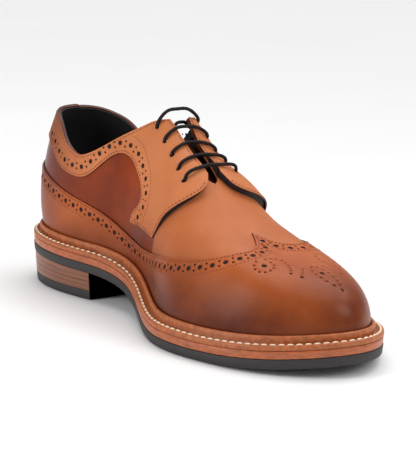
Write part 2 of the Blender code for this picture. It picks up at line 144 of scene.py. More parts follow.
# collar line: x, height; past its end it climbs steeply, so that only the throat is cut there
COLLAR = (
    (-8, 115), (8, 116), (20, 115), (30, 112), (38, 106.5), (46, 99), (54, 94), (62.5, 91.3),
    (70, 92.8), (82, 98.5), (92, 104.5), (101, 109.5), (112, 115.2), (118, 118.2), (124, 119.6),
)
COLLAR_END = 125.0
COLLAR_RISE = 13.0

# how much lower the collar runs on the outer side: x, drop
OUTER_DROP = ((6, 0), (14, 1.8), (22, 4.2), (34, 5.2), (60, 5.2), (90, 4.5), (114, 1.0), (120, 0))

# top edge of the wing: x, girth up from the foot
WING = (
    (-1, 52), (15, 46), (53, 36), (77, 31), (99, 24.5), (118, 21), (149, 28), (179, 37), (205, 42),
    (226, 48), (252, 60), (270, 73), (281, 86), (287, 96.5), (290, 105.5),
)

# edges of the facing panel, each from one corner to the next: x, girth up from the foot
STRIP_EDGE = (
    (-1, 68), (15, 66), (30, 60), (43, 52), (56, 48.5), (70, 49.5), (77, 54), (86, 62), (93, 67.5),
    (99, 70), (104.5, 70), (109.5, 68), (114, 64), (119.5, 58.5), (122.5, 51), (119, 43), (113.5, 36),
    (112.5, 31),
)
FRONT_EDGE = ((148.5, 37), (155, 45.5), (162.5, 55), (170.5, 67), (174.5, 77), (173.5, 84.5), (169.5, 89.5))
FACING_TIP = 166.5

# how much further forward the foot of the outer front edge sits, and the girth over which that fades
OUTER_FRONT = 7.0
OUTER_FRONT_TOP = 92.0
OUTER_FRONT_FADE = 35.0

# lift of the facing's front off the vamp: where it starts, over what length, amounts on each side
LIFT_X = 142.0
LIFT_GIRTH = 36.0
LIFT_OVER = 24.0
LIFT_INNER = 3.2
LIFT_OUTER = 3.6

# eyelets: x, distance from the throat's centre line
EYELETS = ((122, 20), (132, 20), (141.5, 19.5), (152, 19), (162, 19))
EYELET_R = 1.55
EYELET_CLEAR = 1.9

# lace: radius, clearance over the facing, where a bar leaves the facing and rise of its middle
LACE_R = 1.08
BAR_HEIGHT = 0.2
THROAT_SIDE = 7.0
BAR_CROWN = 0.6

# lace: where it bends over the eyelet's edge, as a height and a share of the way to the bar's end
SHOULDER_HEIGHT = 2.55
SHOULDER_SHARE = 0.35

# depth of the lace's runs under the facing
HIDDEN_DEPTH = 4.7

# run under the facing from one eyelet to the next: share of the way in x, side, distance from the ridge
LACE_RUN = ((0.15, 1, 13), (0.35, 1, 6), (0.5, 1, 0.3), (0.65, -1, 6), (0.85, -1, 13))

# thickness of the panels on the upper, of its leather, and of leather and lining together
PANEL = 1.3
LINING = 1.1
WALL = 2.2

# columns and rows of the upper and of its lining, and how far the lining ends below the opening
UPPER_GRID = (300, 60)
LINING_GRID = (200, 40)
LINING_INSET = 0.7

# gap under the panels, spacing of their inner points, least clearance of two holes, foot of the wing
PANEL_GAP = 0.06
WING_SPACING = 3.4
FACING_SPACING = 3.0
WING_CLEAR = 0.55
FACING_CLEAR = 0.5
WING_FOOT = 3.2

# heights over the last: top of the facing's lining, floor of the holes and underside of the facing
FACING_LINING = 0.4
HOLE_FLOOR = 0.42
FACING_LOW = 0.45

# length of the charts, from heel to toe
ALONG = 330.0

# punched holes: radii, pitch of the rows, their distance from the edge, and of a small pair from the row
BIG_HOLE = 1.55
SMALL_HOLE = 0.68
SMALL_ASIDE = 1.7
WING_PITCH = 8.0
WING_ROW = 5.3
FACING_PITCH = 9.2
FACING_ROW = 6.3

# stitches: length, width and height, pitch, and the distances of their rows from the panels' edges
PANEL_STITCH = (1.75, 0.55, 0.34)
PANEL_STITCH_PITCH = 2.25
WING_STITCH_ROWS = (1.3, 9.3)
FACING_STITCH_ROWS = (1.3, 12.4)
WELT_STITCH = (4.3, 1.6, 0.75)
WELT_STITCH_PITCH = 4.9

# tongue: its depth under the last, thickness, ends in x, half width and how much narrower its front is
TONGUE_DEPTH = 6.6
TONGUE_THICK = 1.8
TONGUE_ENDS = (136, 189)
TONGUE_HALF = 26.0
TONGUE_TAPER = 6.0
TONGUE_TAPER_X = (170, 188)

# where the tongue rises to the vamp, and its soft waves: x and length; height and length
TONGUE_RISE = (168, 16)
TONGUE_WAVE = (0.35, 5.5)


def column(table, index):
    return np.array([row[index] for row in table], float)


def unit(vectors):
    """The vectors with a length of 1."""
    return vectors / np.maximum(np.linalg.norm(vectors, axis=-1, keepdims=True), 1e-9)


def lengths(points):
    """Length of a line up to each of its points."""
    return np.r_[0, np.cumsum(np.linalg.norm(np.diff(points, axis=0), axis=1))]


def walk(line, length, at):
    """Points of a line at the given lengths."""
    return np.stack([np.interp(at, length, line[:, k]) for k in range(line.shape[1])], -1)


def eased(share):
    """0 to 1 with a soft start and end."""
    share = np.clip(share, 0, 1)
    return share ** 2 * (3 - 2 * share)


def spline(knots, values, at):
    """Smooth curve through the values, which may be numbers or vectors."""
    knots = np.asarray(knots, float)
    values = np.asarray(values, float)
    at = np.asarray(at, float)
    count = len(knots)
    step = np.diff(knots)
    slope = (np.diff(values, axis=0).T / step).T
    matrix = np.eye(count)
    right = np.zeros_like(values)
    for i in range(1, count - 1):
        matrix[i, i - 1:i + 2] = step[i - 1], 2 * (step[i - 1] + step[i]), step[i]
        right[i] = 6 * (slope[i] - slope[i - 1])
    bend = np.linalg.solve(matrix, right)
    k = np.clip(np.searchsorted(knots, at) - 1, 0, count - 2)
    a = at - knots[k]
    b = knots[k + 1] - at
    w = step[k]
    if values.ndim > 1:
        a, b, w = a[..., None], b[..., None], w[..., None]
    cubic = (bend[k] * b ** 3 + bend[k + 1] * a ** 3) / (6 * w)
    return cubic + (values[k] / w - bend[k] * w / 6) * b + (values[k + 1] / w - bend[k + 1] * w / 6) * a


def along_table(table, x):
    """Smooth value of a two-column table at x, held level past its ends."""
    return spline(column(table, 0), column(table, 1), np.clip(x, table[0][0], table[-1][0]))


def bottom(x):
    """Height of the outsole's underside: heel seat, arch, flat tread and toe spring."""
    x = np.asarray(x, float)
    fall = (HEEL_BREAST_Z - HEEL_BACK_Z) / BREAST_X
    seat = HEEL_BACK_Z + fall * x
    span = TREAD_START - BREAST_X
    t = np.clip((x - BREAST_X) / span, 0, 1)
    arch = HEEL_BREAST_Z * (2 * t ** 3 - 3 * t ** 2 + 1) + fall * span * (t ** 3 - 2 * t ** 2 + t)
    spring = TOE_SPRING * np.clip((x - TREAD_END) / (TIP_X + 10 - TREAD_END), 0, 2) ** 2
    return np.where(x < BREAST_X, seat, arch) + spring


def foot_loop():
    """Closed loop of the foot line, with the knots where the outer and the inner side end."""
    table = np.array(FOOT_LINE, float)
    outer = table[:, [0, 2]]
    inner = table[:, [0, 1]]
    loop = np.vstack([outer, inner[-2:0:-1]])
    wrap = 4
    points = np.vstack([loop[-wrap:], loop, loop[:wrap + 1]])
    length = lengths(points)
    length -= length[wrap]
    return length, points, length[wrap + len(outer) - 1], length[wrap + len(loop)]


LOOP_KNOTS, LOOP_POINTS, LOOP_HALF, LOOP_END = foot_loop()


def foot_point(side, s):
    """Plan point of the foot line; s runs from 0 at the heel to 1 at the toe."""
    s = np.asarray(s, float)
    outer = s * LOOP_HALF
    inner = LOOP_END - s * (LOOP_END - LOOP_HALF)
    return spline(LOOP_KNOTS, LOOP_POINTS, np.where(np.asarray(side) > 0, outer, inner))


def outward(side, s):
    """Unit plan vector straight out of the foot line."""
    step = 1e-3
    along = foot_point(side, s + step) - foot_point(side, s - step)
    return unit(np.stack([-along[..., 1], along[..., 0]], -1) * np.asarray(side, float)[..., None])


def soft_between(x, low, high):
    """x held between low and high, with a soft change at both."""
    x = low + POLE_SOFT * np.logaddexp(0, (x - low) / POLE_SOFT)
    return high - POLE_SOFT * np.logaddexp(0, (high - x) / POLE_SOFT)


def ribs(side, s):
    """Upright rib of the last: base point, plan direction and the five handles of its profile."""
    foot = foot_point(side, s)
    base_x = soft_between(foot[..., 0], POLE_HEEL, POLE_TOE)
    ridge = spline(column(RIDGE, 0), np.array(RIDGE, float)[:, 1:], base_x)
    ahead = spline(column(RIDGE, 0), column(RIDGE, 1), base_x + 0.5)
    behind = spline(column(RIDGE, 0), column(RIDGE, 1), base_x - 0.5)
    base = np.stack([base_x, ridge[..., 1]], -1)
    reach = np.linalg.norm(foot - base, axis=-1)
    direction = (foot - base) / reach[..., None]
    shape = spline(column(PROFILE, 0), np.array(PROFILE, float)[:, 1:], np.clip(foot[..., 0], 0, TIP_X))
    bulge, low, wide, share, roundness = np.moveaxis(shape, -1, 0)
    low_z = bottom(foot[..., 0]) + SEAT
    top_z = ridge[..., 0]
    lean = top_z + (ahead - behind) * direction[..., 0] * reach * roundness
    rho = np.stack([reach, reach + bulge, reach * wide, reach * roundness, 0 * reach], -1)
    z = np.stack([low_z, low_z + low, low_z + share * (top_z - low_z), lean, top_z], -1)
    return base, direction, rho, z


def along_rib(handles, t):
    """Curve with five handles."""
    first, second, third, fourth, fifth = np.moveaxis(handles, -1, 0)
    u = 1 - t
    return (first * u ** 4 + 4 * second * u ** 3 * t + 6 * third * u ** 2 * t ** 2
            + 4 * fourth * u * t ** 3 + fifth * t ** 4)


class Last:
    """The last as a table: side, place u from heel to toe, share v of the girth from foot to ridge."""

    COLUMNS = 480
    ROWS = 300
    # added to x over the whole foot line, so that it always grows when the two sides are matched
    MATCH = 30

    def __init__(self):
        self.u = np.linspace(0, 1, self.COLUMNS + 1)
        self.v = np.linspace(0, 1, self.ROWS + 1)
        inner_x = foot_point(-1.0, self.u)[:, 0]
        self.x = np.maximum.accumulate(inner_x)
        fine = np.linspace(0, 1, 4001)
        outer_x = foot_point(1.0, fine)[:, 0]
        outer = np.interp(inner_x + self.MATCH * self.u, outer_x + self.MATCH * fine, fine)
        outer[0], outer[-1] = 0, 1
        self.s = np.stack([self.u, outer])
        tables = [self.sample(side, s) for side, s in zip((-1.0, 1.0), self.s)]
        self.points = np.stack([t[0] for t in tables])
        self.girth = np.stack([t[1] for t in tables])
        self.opening = np.stack([self.open_share(k) for k in (0, 1)])
        self.normals = self.find_normals()

    def sample(self, side, s):
        base, direction, rho, z = ribs(side * np.ones(len(s)), s)
        t = np.linspace(0, 1, 500)
        reach = along_rib(rho[:, None, :], t[None, :])
        height = along_rib(z[:, None, :], t[None, :])
        plan = base[:, None, :] + reach[..., None] * direction[:, None, :]
        points = np.concatenate([plan, height[..., None]], -1)
        steps = np.linalg.norm(np.diff(points, axis=1), axis=2)
        girth = np.concatenate([np.zeros((len(s), 1)), np.cumsum(steps, axis=1)], 1)
        self.settle(points, girth, CROWN_REACH[0] if side < 0 else CROWN_REACH[1])
        out = np.empty((len(s), len(self.v), 3))
        for i in range(len(s)):
            for axis in range(3):
                out[i, :, axis] = np.interp(self.v, girth[i] / girth[i, -1], points[i, :, axis])
        return out, girth[:, -1]

    @staticmethod
    def settle(points, girth, reach):
        """Presses the crown of the instep down and leans the top of the heel forward."""
        x = points[..., 0]
        depth = CROWN_DEPTH * np.exp(-((x - CROWN_X) / CROWN_LONG) ** 2)
        points[..., 2] -= depth * np.exp(-((girth[:, -1:] - girth) / reach) ** 2)
        high = np.clip((points[..., 2] - LEAN_START_Z) / LEAN_OVER_Z, 0, 1.3)
        points[..., 0] += HEEL_LEAN * high ** 2 * np.clip(1 - x / LEAN_REACH_X, 0, 1)

    @staticmethod
    def collar_height(x, k):
        """Height of the collar on the inner side, k = 0, or the outer side, k = 1."""
        line = along_table(COLLAR, x) - k * along_table(OUTER_DROP, x)
        return line + COLLAR_RISE * np.clip(x - COLLAR_END, 0, 50)

    def open_share(self, k):
        """Share of the girth at the collar or throat, 1 where the vamp is closed."""
        found = np.ones(len(self.u))
        for i, points in enumerate(self.points[k]):
            x, z = points[:, 0], points[:, 2]
            over = z - self.collar_height(x, k)
            base = points[-1]
            if base[0] > THROAT_END - 0.2:
                continue
            if base[0] > THROAT_START:
                half = np.interp(x, column(THROAT, 0), column(THROAT, 1))
                into_end = np.clip((x - THROAT_END) / THROAT_ROUND + 1, 0, 1)
                half = half * np.sqrt(1 - into_end ** 2)
                over = np.maximum(over, half - np.hypot(x - base[0], points[:, 1] - base[1]))
            j = int(np.argmax(over > 0))
            if j:
                share = over[j - 1] / (over[j - 1] - over[j])
                found[i] = self.v[j - 1] + share * (self.v[j] - self.v[j - 1])
        return found

    def find_normals(self):
        """Outward normals; where the rows run together, the last good one is repeated."""
        out = []
        for k, sign in ((0, 1.0), (1, -1.0)):
            by_u = np.gradient(self.points[k], axis=0)
            by_v = np.gradient(self.points[k], axis=1)
            normal = np.cross(by_u, by_v) * sign
            size = np.linalg.norm(normal, axis=2, keepdims=True)
            normal = normal / np.maximum(size, 1e-9)
            good = np.where(size[..., 0] > 1e-4, np.arange(size.shape[1]), 0)
            last_good = np.maximum.accumulate(good, axis=1)
            out.append(np.take_along_axis(normal, last_good[..., None].repeat(3, 2), axis=1))
        return np.stack(out)

    def look(self, table, side, u, v):
        """Value of a table between its samples."""
        k = (np.asarray(side) > 0).astype(int)
        i = np.clip(np.asarray(u, float), 0, 1) * self.COLUMNS
        j = np.clip(np.asarray(v, float), 0, 1) * self.ROWS
        i0 = np.minimum(i.astype(int), self.COLUMNS - 1)
        j0 = np.minimum(j.astype(int), self.ROWS - 1)
        a = (i - i0)[..., None]
        b = (j - j0)[..., None]
        low = table[k, i0, j0] * (1 - b) + table[k, i0, j0 + 1] * b
        high = table[k, i0 + 1, j0] * (1 - b) + table[k, i0 + 1, j0 + 1] * b
        return low * (1 - a) + high * a

    def place(self, side, u, v, offset=0.0):
        """Point on the last, or above it by the offset."""
        normal = unit(self.look(self.normals, side, u, v))
        return self.look(self.points, side, u, v) + normal * np.asarray(offset, float)[..., None]

    def u_at(self, x):
        return np.interp(x, self.x, self.u)

    def girth_at(self, side, u):
        return np.interp(u, self.u, self.girth[int(side > 0)])

    def full(self, u):
        """Whole girth of the inner side, which scales the girth coordinate of both sides."""
        return self.girth_at(-1, u)

    def open_at(self, side, u):
        """Share of the girth at which the upper ends."""
        return np.interp(u, self.u, self.opening[int(side > 0)])

    def near_ridge(self, side, x, distance, offset=0.0):
        """Point at a distance down from the ridge."""
        u = float(self.u_at(x))
        return self.place(side, u, 1 - distance / self.girth_at(side, u), offset)


LAST = Last()


class Chart:
    """Flat map of the last: a runs along the foot in last units, h is the girth up from it."""

    def __init__(self, centre_u):
        self.centre = centre_u

    def resolve(self, a, h):
        a = np.asarray(a, float)
        reach = np.abs(a) / ALONG
        inner = a >= 0 if self.centre == 0 else a <= 0
        side = np.where(inner ^ (reach > 1), -1, 1)
        share = np.where(reach > 1, 2 - reach, reach)
        u = share if self.centre == 0 else 1 - share
        return side, u, np.asarray(h, float) / LAST.full(u)

    def place(self, a, h, offset=0.0):
        return LAST.place(*self.resolve(a, h), offset)

    def frame(self, a, h):
        """Point, its change with a and with h, and the normal."""
        step = 0.4
        point = self.place(a, h)
        by_a = (self.place(a + step, h) - self.place(a - step, h)) / (2 * step)
        by_h = (self.place(a, h + step) - self.place(a, h - step)) / (2 * step)
        normal = unit(np.cross(by_a, by_h))
        outside = self.place(a, h, 1.0) - point
        flip = np.sign(np.sum(normal * outside, axis=-1))[..., None]
        return point, by_a, by_h, normal * flip

    def shift(self, a, h, vector):
        """Chart steps that move a surface point by a tangent vector."""
        _, by_a, by_h, _ = self.frame(a, h)
        aa = np.sum(by_a * by_a, -1)
        hh = np.sum(by_h * by_h, -1)
        ah = np.sum(by_a * by_h, -1)
        va = np.sum(by_a * vector, -1)
        vh = np.sum(by_h * vector, -1)
        det = aa * hh - ah * ah
        return (va * hh - vh * ah) / det, (vh * aa - va * ah) / det

    def follow(self, line, distance):
        """The line moved by a real distance to the left of its direction, seen from outside."""
        line = np.array(line, float)
        for _ in range(3):
            a, h = line.T
            point, _, _, normal = self.frame(a, h)
            along = unit(np.gradient(point, axis=0))
            da, dh = self.shift(a, h, np.cross(normal, along) * distance / 3)
            line = line + np.stack([da, dh], -1)
        return line

    def spaced(self, line, pitch, start=0.5, end=0.5):
        """Chart points at an even real pitch along the line, with the direction at each."""
        line = np.array(line, float)
        length = lengths(self.place(*line.T))
        used = length[-1] - (start + end) * pitch
        count = max(1, int(round(used / pitch)))
        at = start * pitch + used * np.arange(count + 1) / count
        step = 0.3
        ahead = self.place(*walk(line, length, at + step).T)
        behind = self.place(*walk(line, length, at - step).T)
        return walk(line, length, at), unit(ahead - behind)


HEEL_CHART = Chart(0)
TOE_CHART = Chart(1)


def outline_centre():
    """Middle of the outline of the welt, which is the shoe's widest edge."""
    s = np.linspace(0, 1, 400)
    sides = [foot_point(side, s) + WELT_EDGE * outward(side * np.ones(400), s) for side in (-1.0, 1.0)]
    edge = np.vstack(sides)
    return (edge.min(axis=0) + edge.max(axis=0)) / 2


CENTRE = outline_centre()


def to_metres(points):
    points = np.array(points, float)
    points[..., :2] -= CENTRE
    return points * SIZE


# materials


# where the leather is darkened: burnished at the toe tip and at the heel, and painted shade towards the
# bottom of the sides; axis, start and full place in metres, share
BURNISH_AND_SHADE = (("X", 0.088, 0.138, 0.95), ("Z", 0.066, 0.02, 1.0), ("X", -0.06, -0.125, 0.85))


def add_node(tree, kind, inputs, **settings):
    """New shader node; each named input is linked to an output or set to a value."""
    node = tree.nodes.new("ShaderNode" + kind)
    for name, value in settings.items():
        setattr(node, name, value)
    for name, value in inputs.items():
        socket = node.inputs[name]
        if isinstance(value, bpy.types.NodeSocket):
            tree.links.new(value, socket)
        elif socket.type == "RGBA":
            socket.default_value = (*value, 1)
        else:
            socket.default_value = value
    return node


def shader_nodes(name, roughness, coat=0.0, specular=0.5):
    made = bpy.data.materials.new(name)
    made.use_nodes = True
    tree = made.node_tree
    shader = tree.nodes["Principled BSDF"]
    shader.inputs["Roughness"].default_value = roughness
    shader.inputs["Coat Weight"].default_value = coat
    shader.inputs["Coat Roughness"].default_value = 0.25
    shader.inputs["Specular IOR Level"].default_value = specular
    where = add_node(tree, "TexCoord", {})
    return made, tree, shader, where.outputs["Object"]


def noise(tree, where, scale, detail=4.0, rough=0.55, stretch=None):
    if stretch:
        where = add_node(tree, "Mapping", {"Vector": where, "Scale": stretch}).outputs["Vector"]
    inputs = {"Vector": where, "Scale": scale, "Detail": detail, "Roughness": rough}
    return add_node(tree, "TexNoise", inputs).outputs["Fac"]


def cells(tree, where, scale):
    return add_node(tree, "TexVoronoi", {"Vector": where, "Scale": scale}).outputs["Distance"]


def ramp(tree, value, low, dark, high, light):
    """Colour from dark at the low value to light at the high one."""
    node = add_node(tree, "ValToRGB", {"Fac": value})
    for element, position, colour in zip(node.color_ramp.elements, (low, high), (dark, light)):
        element.position = position
        element.color = (*colour, 1)
    return node


def mix(tree, share, first, second):
    inputs = {"Factor": share, "A": first, "B": second}
    return add_node(tree, "Mix", inputs, data_type="RGBA").outputs["Result"]


def bump(tree, shader, heights):
    """Chain of bumps: (height, strength, distance in metres) each."""
    chain = {}
    for height, strength, distance in heights:
        node = add_node(tree, "Bump", {"Height": height, "Strength": strength, "Distance": distance, **chain})
        chain = {"Normal": node.outputs["Normal"]}
    tree.links.new(chain["Normal"], shader.inputs["Normal"])


def axis_value(tree, where, axis, low, high):
    """0 to 1 between two places on one axis."""
    place = add_node(tree, "SeparateXYZ", {"Vector": where}).outputs[axis]
    inputs = {"Value": place, "From Min": low, "From Max": high}
    return add_node(tree, "MapRange", inputs, interpolation_type="SMOOTHSTEP").outputs["Result"]


def combine(tree, operation, first, second):
    node = add_node(tree, "Math", {0: first, 1: second}, operation=operation, use_clamp=True)
    return node.outputs["Value"]


def leather(name, light, dark, roughness, coat, grain):
    """Tan leather with fine grain, burnished at the toe tip and at the heel, with painted shade darkening the
    lower sides.
    """
    made, tree, shader, where = shader_nodes(name, roughness, coat, specular=0.12)
    cloud = noise(tree, where, 24, 3)
    mottled = ramp(tree, cloud, 0.32, dark, 0.68, light).outputs["Color"]
    fine = noise(tree, where, 900, 3)
    colour = mix(tree, combine(tree, "MULTIPLY", fine, 0.3), mottled, tuple(c * 0.55 for c in dark))
    # burnish at the toe and the heel, and painted shade on the lower sides, mixed towards one dark colour
    burn_and_shade = 0.0
    for axis, start, full, share in BURNISH_AND_SHADE:
        part = combine(tree, "MULTIPLY", axis_value(tree, where, axis, start, full), share)
        burn_and_shade = combine(tree, "MAXIMUM", burn_and_shade, part)
    wander = combine(tree, "ADD", combine(tree, "MULTIPLY", noise(tree, where, 30, 3), 0.8), 0.42)
    colour = mix(tree, combine(tree, "MULTIPLY", burn_and_shade, wander), colour, BURNISH_AND_SHADE_COLOUR)
    tree.links.new(colour, shader.inputs["Base Color"])
    rough = add_node(tree, "MapRange", {"Value": fine, "To Min": roughness - 0.06, "To Max": roughness + 0.1})
    tree.links.new(rough.outputs["Result"], shader.inputs["Roughness"])
    bump(tree, shader, (
        (cells(tree, where, 1500), grain, 0.00012),
        (noise(tree, where, 2600, 2), grain * 0.7, 0.00008),
        (noise(tree, where, 70, 3), 0.25, 0.0005),
    ))
    return made


def plain(name, colour, spread, roughness, scale, strength, distance=0.0001, stretch=None, coat=0.0):
    """Material with a slightly uneven colour and surface."""
    made, tree, shader, where = shader_nodes(name, roughness, coat)
    pattern = noise(tree, where, scale, stretch=stretch)
    dark = tuple(c * (1 - spread) for c in colour)
    light = tuple(c * (1 + spread) for c in colour)
    tree.links.new(ramp(tree, pattern, 0.3, dark, 0.7, light).outputs["Color"], shader.inputs["Base Color"])
    bump(tree, shader, ((pattern, strength, distance),))
    return made


def stacked_leather():
    """Edge of the heel lifts: fine level lines in several browns."""
    made, tree, shader, where = shader_nodes("stacked_leather", 0.42, 0.15)
    lines = noise(tree, where, 60, 5, 0.7, stretch=(0.6, 0.6, 26))
    grain = noise(tree, where, 400, 3, stretch=(0.4, 0.4, 3))
    bands = ramp(tree, lines, 0.25, (0.11, 0.032, 0.012), 0.75, (0.36, 0.14, 0.06))
    middle = bands.color_ramp.elements.new(0.5)
    middle.color = (0.25, 0.085, 0.035, 1)
    share = combine(tree, "MULTIPLY", grain, 0.35)
    colour = mix(tree, share, bands.outputs["Color"], (0.10, 0.03, 0.012))
    tree.links.new(colour, shader.inputs["Base Color"])
    bump(tree, shader, ((lines, 0.35, 0.0002), (grain, 0.2, 0.0001)))
    return made


def lace_material():
    """Waxed round cord with a fine braid."""
    made, tree, shader, where = shader_nodes("lace_cotton", 0.7, specular=0.25)
    weave = cells(tree, where, 1100)
    colour = ramp(tree, weave, 0.0, (0.022, 0.010, 0.008), 0.6, (0.007, 0.003, 0.003))
    tree.links.new(colour.outputs["Color"], shader.inputs["Base Color"])
    bump(tree, shader, ((weave, 0.6, 0.00025),))
    return made


def floor_material():
    made, tree, shader, where = shader_nodes("floor_paper", 0.85)
    colour = ramp(tree, noise(tree, where, 4, 3), 0.0, (0.86, 0.86, 0.865), 1.0, (0.9, 0.9, 0.905))
    tree.links.new(colour.outputs["Color"], shader.inputs["Base Color"])
    bump(tree, shader, ((noise(tree, where, 300, 2), 0.05, 0.0002),))
    return made


# colour of the burnish and of the painted shade on the lower sides; then name, light, dark, roughness, coat,
# grain of each leather
BURNISH_AND_SHADE_COLOUR = (0.075, 0.008, 0.002)
LEATHERS = {
    "facing": ("facing_leather", (0.66, 0.225, 0.088), (0.54, 0.165, 0.056), 0.52, 0.04, 0.7),
    "wing": ("wing_leather", (0.6, 0.155, 0.04), (0.44, 0.09, 0.018), 0.36, 0.09, 0.16),
    "vamp": ("vamp_leather", (0.62, 0.195, 0.07), (0.5, 0.135, 0.043), 0.46, 0.06, 0.3),
    "quarter": ("quarter_leather", (0.33, 0.05, 0.007), (0.16, 0.02, 0.003), 0.28, 0.1, 0.1),
    # the tongue is darkened far below its tan: painted shade of the deep throat between the facings
    "tongue": ("tongue_leather_painted_shade", (0.16, 0.05, 0.02), (0.10, 0.03, 0.012), 0.55, 0.0, 0.35),
}

# name, colour, its spread, roughness, scale of the pattern, bump, and for some its depth, stretch and coat
PLAIN = {
    "lining": ("lining_leather", (0.009, 0.009, 0.01), 0.3, 0.65, 900, 0.2),
    "sock": ("sock_leather", (0.012, 0.011, 0.011), 0.3, 0.6, 500, 0.3),
    "hole": ("hole_shade", (0.02, 0.006, 0.004), 0.3, 0.8, 900, 0.2),
    "edge": ("cut_edge", (0.07, 0.018, 0.008), 0.3, 0.6, 900, 0.3),
    "thread": ("tan_thread", (0.25, 0.06, 0.02), 0.3, 0.6, 3000, 0.4),
    "cream": ("cream_thread", (0.86, 0.74, 0.56), 0.1, 0.6, 3000, 0.4),
    "welt": ("welt_leather", (0.4, 0.105, 0.024), 0.3, 0.5, 420, 0.45, 0.0002, None, 0.04),
    "midsole": ("midsole_leather", (0.42, 0.105, 0.03), 0.3, 0.42, 200, 0.3, 0.0002, (1, 1, 4), 0.05),
    "rubber": ("sole_rubber", (0.026, 0.022, 0.022), 0.2, 0.6, 900, 0.35, 0.0002),
}


def make_materials():
    made = {key: leather(*row) for key, row in LEATHERS.items()}
    made.update({key: plain(*row) for key, row in PLAIN.items()})
    made.update(stack=stacked_leather(), lace=lace_material(), floor=floor_material())
    return made


# mesh helpers


def link_object(name, data):
    made = bpy.data.objects.new(name, data)
    bpy.context.scene.collection.objects.link(made)
    return made


def add_mesh(name, points, faces, materials, sharp=40):
    mesh = bpy.data.meshes.new(name)
    mesh.from_pydata(to_metres(points).tolist(), [], [tuple(int(i) for i in f) for f in faces])
    mesh.validate()
    for material in materials:
        mesh.materials.append(material)
    mesh.shade_smooth()
    mesh.set_sharp_from_angle(angle=math.radians(sharp))
    return link_object(name, mesh)


class Sheet:
    """Triangles or quads on the last, thickened along the normals into a closed body."""

    def __init__(self, points, faces):
        self.points = np.array(points, float)
        self.faces = [list(f) for f in faces]

    @staticmethod
    def from_grid(columns, closed, keep=None):
        """Sheet through columns of points; points at one place are joined, and keep picks the faces."""
        points, faces, lookup = [], [], {}

        def vertex(point):
            key = tuple(int(round(c * 50)) for c in point)
            if key not in lookup:
                lookup[key] = len(points)
                points.append(point)
            return lookup[key]

        grid = [[vertex(p) for p in column_points] for column_points in columns]
        if closed:
            grid.append(grid[0])
        for left, right in zip(grid, grid[1:]):
            for k in range(len(left) - 1):
                corners = [left[k], right[k], right[k + 1], left[k + 1]]
                ring = [c for i, c in enumerate(corners) if c != corners[i - 1]]
                if len(set(ring)) > 2:
                    faces.append(ring)
        sheet = Sheet(points, faces)
        if keep is not None:
            kept = keep(np.array([sheet.points[f].mean(axis=0) for f in sheet.faces]))
            sheet.faces = [f for f, k in zip(sheet.faces, kept) if k]
        return sheet

    def normals(self):
        total = np.zeros_like(self.points)
        for size in (3, 4):
            rings = np.array([f for f in self.faces if len(f) == size], int)
            if len(rings) == 0:
                continue
            corners = self.points[rings]
            if size == 3:
                face = np.cross(corners[:, 1] - corners[:, 0], corners[:, 2] - corners[:, 0])
            else:
                face = np.cross(corners[:, 2] - corners[:, 0], corners[:, 3] - corners[:, 1])
            for k in range(size):
                np.add.at(total, rings[:, k], unit(face))
        return unit(total)

    def border(self):
        seen = set()
        for ring in self.faces:
            seen.update((ring[i - 1], ring[i]) for i in range(len(ring)))
        return [edge for edge in seen if (edge[1], edge[0]) not in seen]

    def thicken(self, near, far, normal=None, edge_drop=0.0):
        """Closed body; edge_drop lowers the outer face at the border, which rounds the edge."""
        normal = self.normals() if normal is None else normal
        count = len(self.points)
        near = np.broadcast_to(near, count).astype(float)
        far = np.broadcast_to(far, count).astype(float).copy()
        border = self.border()
        if edge_drop:
            edge = np.unique(np.array(border).ravel())
            far[edge] -= edge_drop
        points = np.vstack([self.points + normal * far[:, None], self.points + normal * near[:, None]])
        faces = [list(f) for f in self.faces]
        faces += [[i + count for i in reversed(f)] for f in self.faces]
        faces += [[b, a, a + count, b + count] for a, b in border]
        used = np.zeros(2 * count, bool)
        for f in faces:
            used[f] = True
        index = np.cumsum(used) - 1
        return points[used], [[int(index[i]) for i in f] for f in faces]


def inside_polygon(points, polygon):
    """True for each point inside the closed polygon."""
    x, y = points.T
    found = np.zeros(len(points), bool)
    for (ax, ay), (bx, by) in zip(polygon, np.roll(polygon, -1, axis=0)):
        crossing = (ay > y) != (by > y)
        if ay != by:
            found ^= crossing & (x < (bx - ax) * (y - ay) / (by - ay) + ax)
    return found


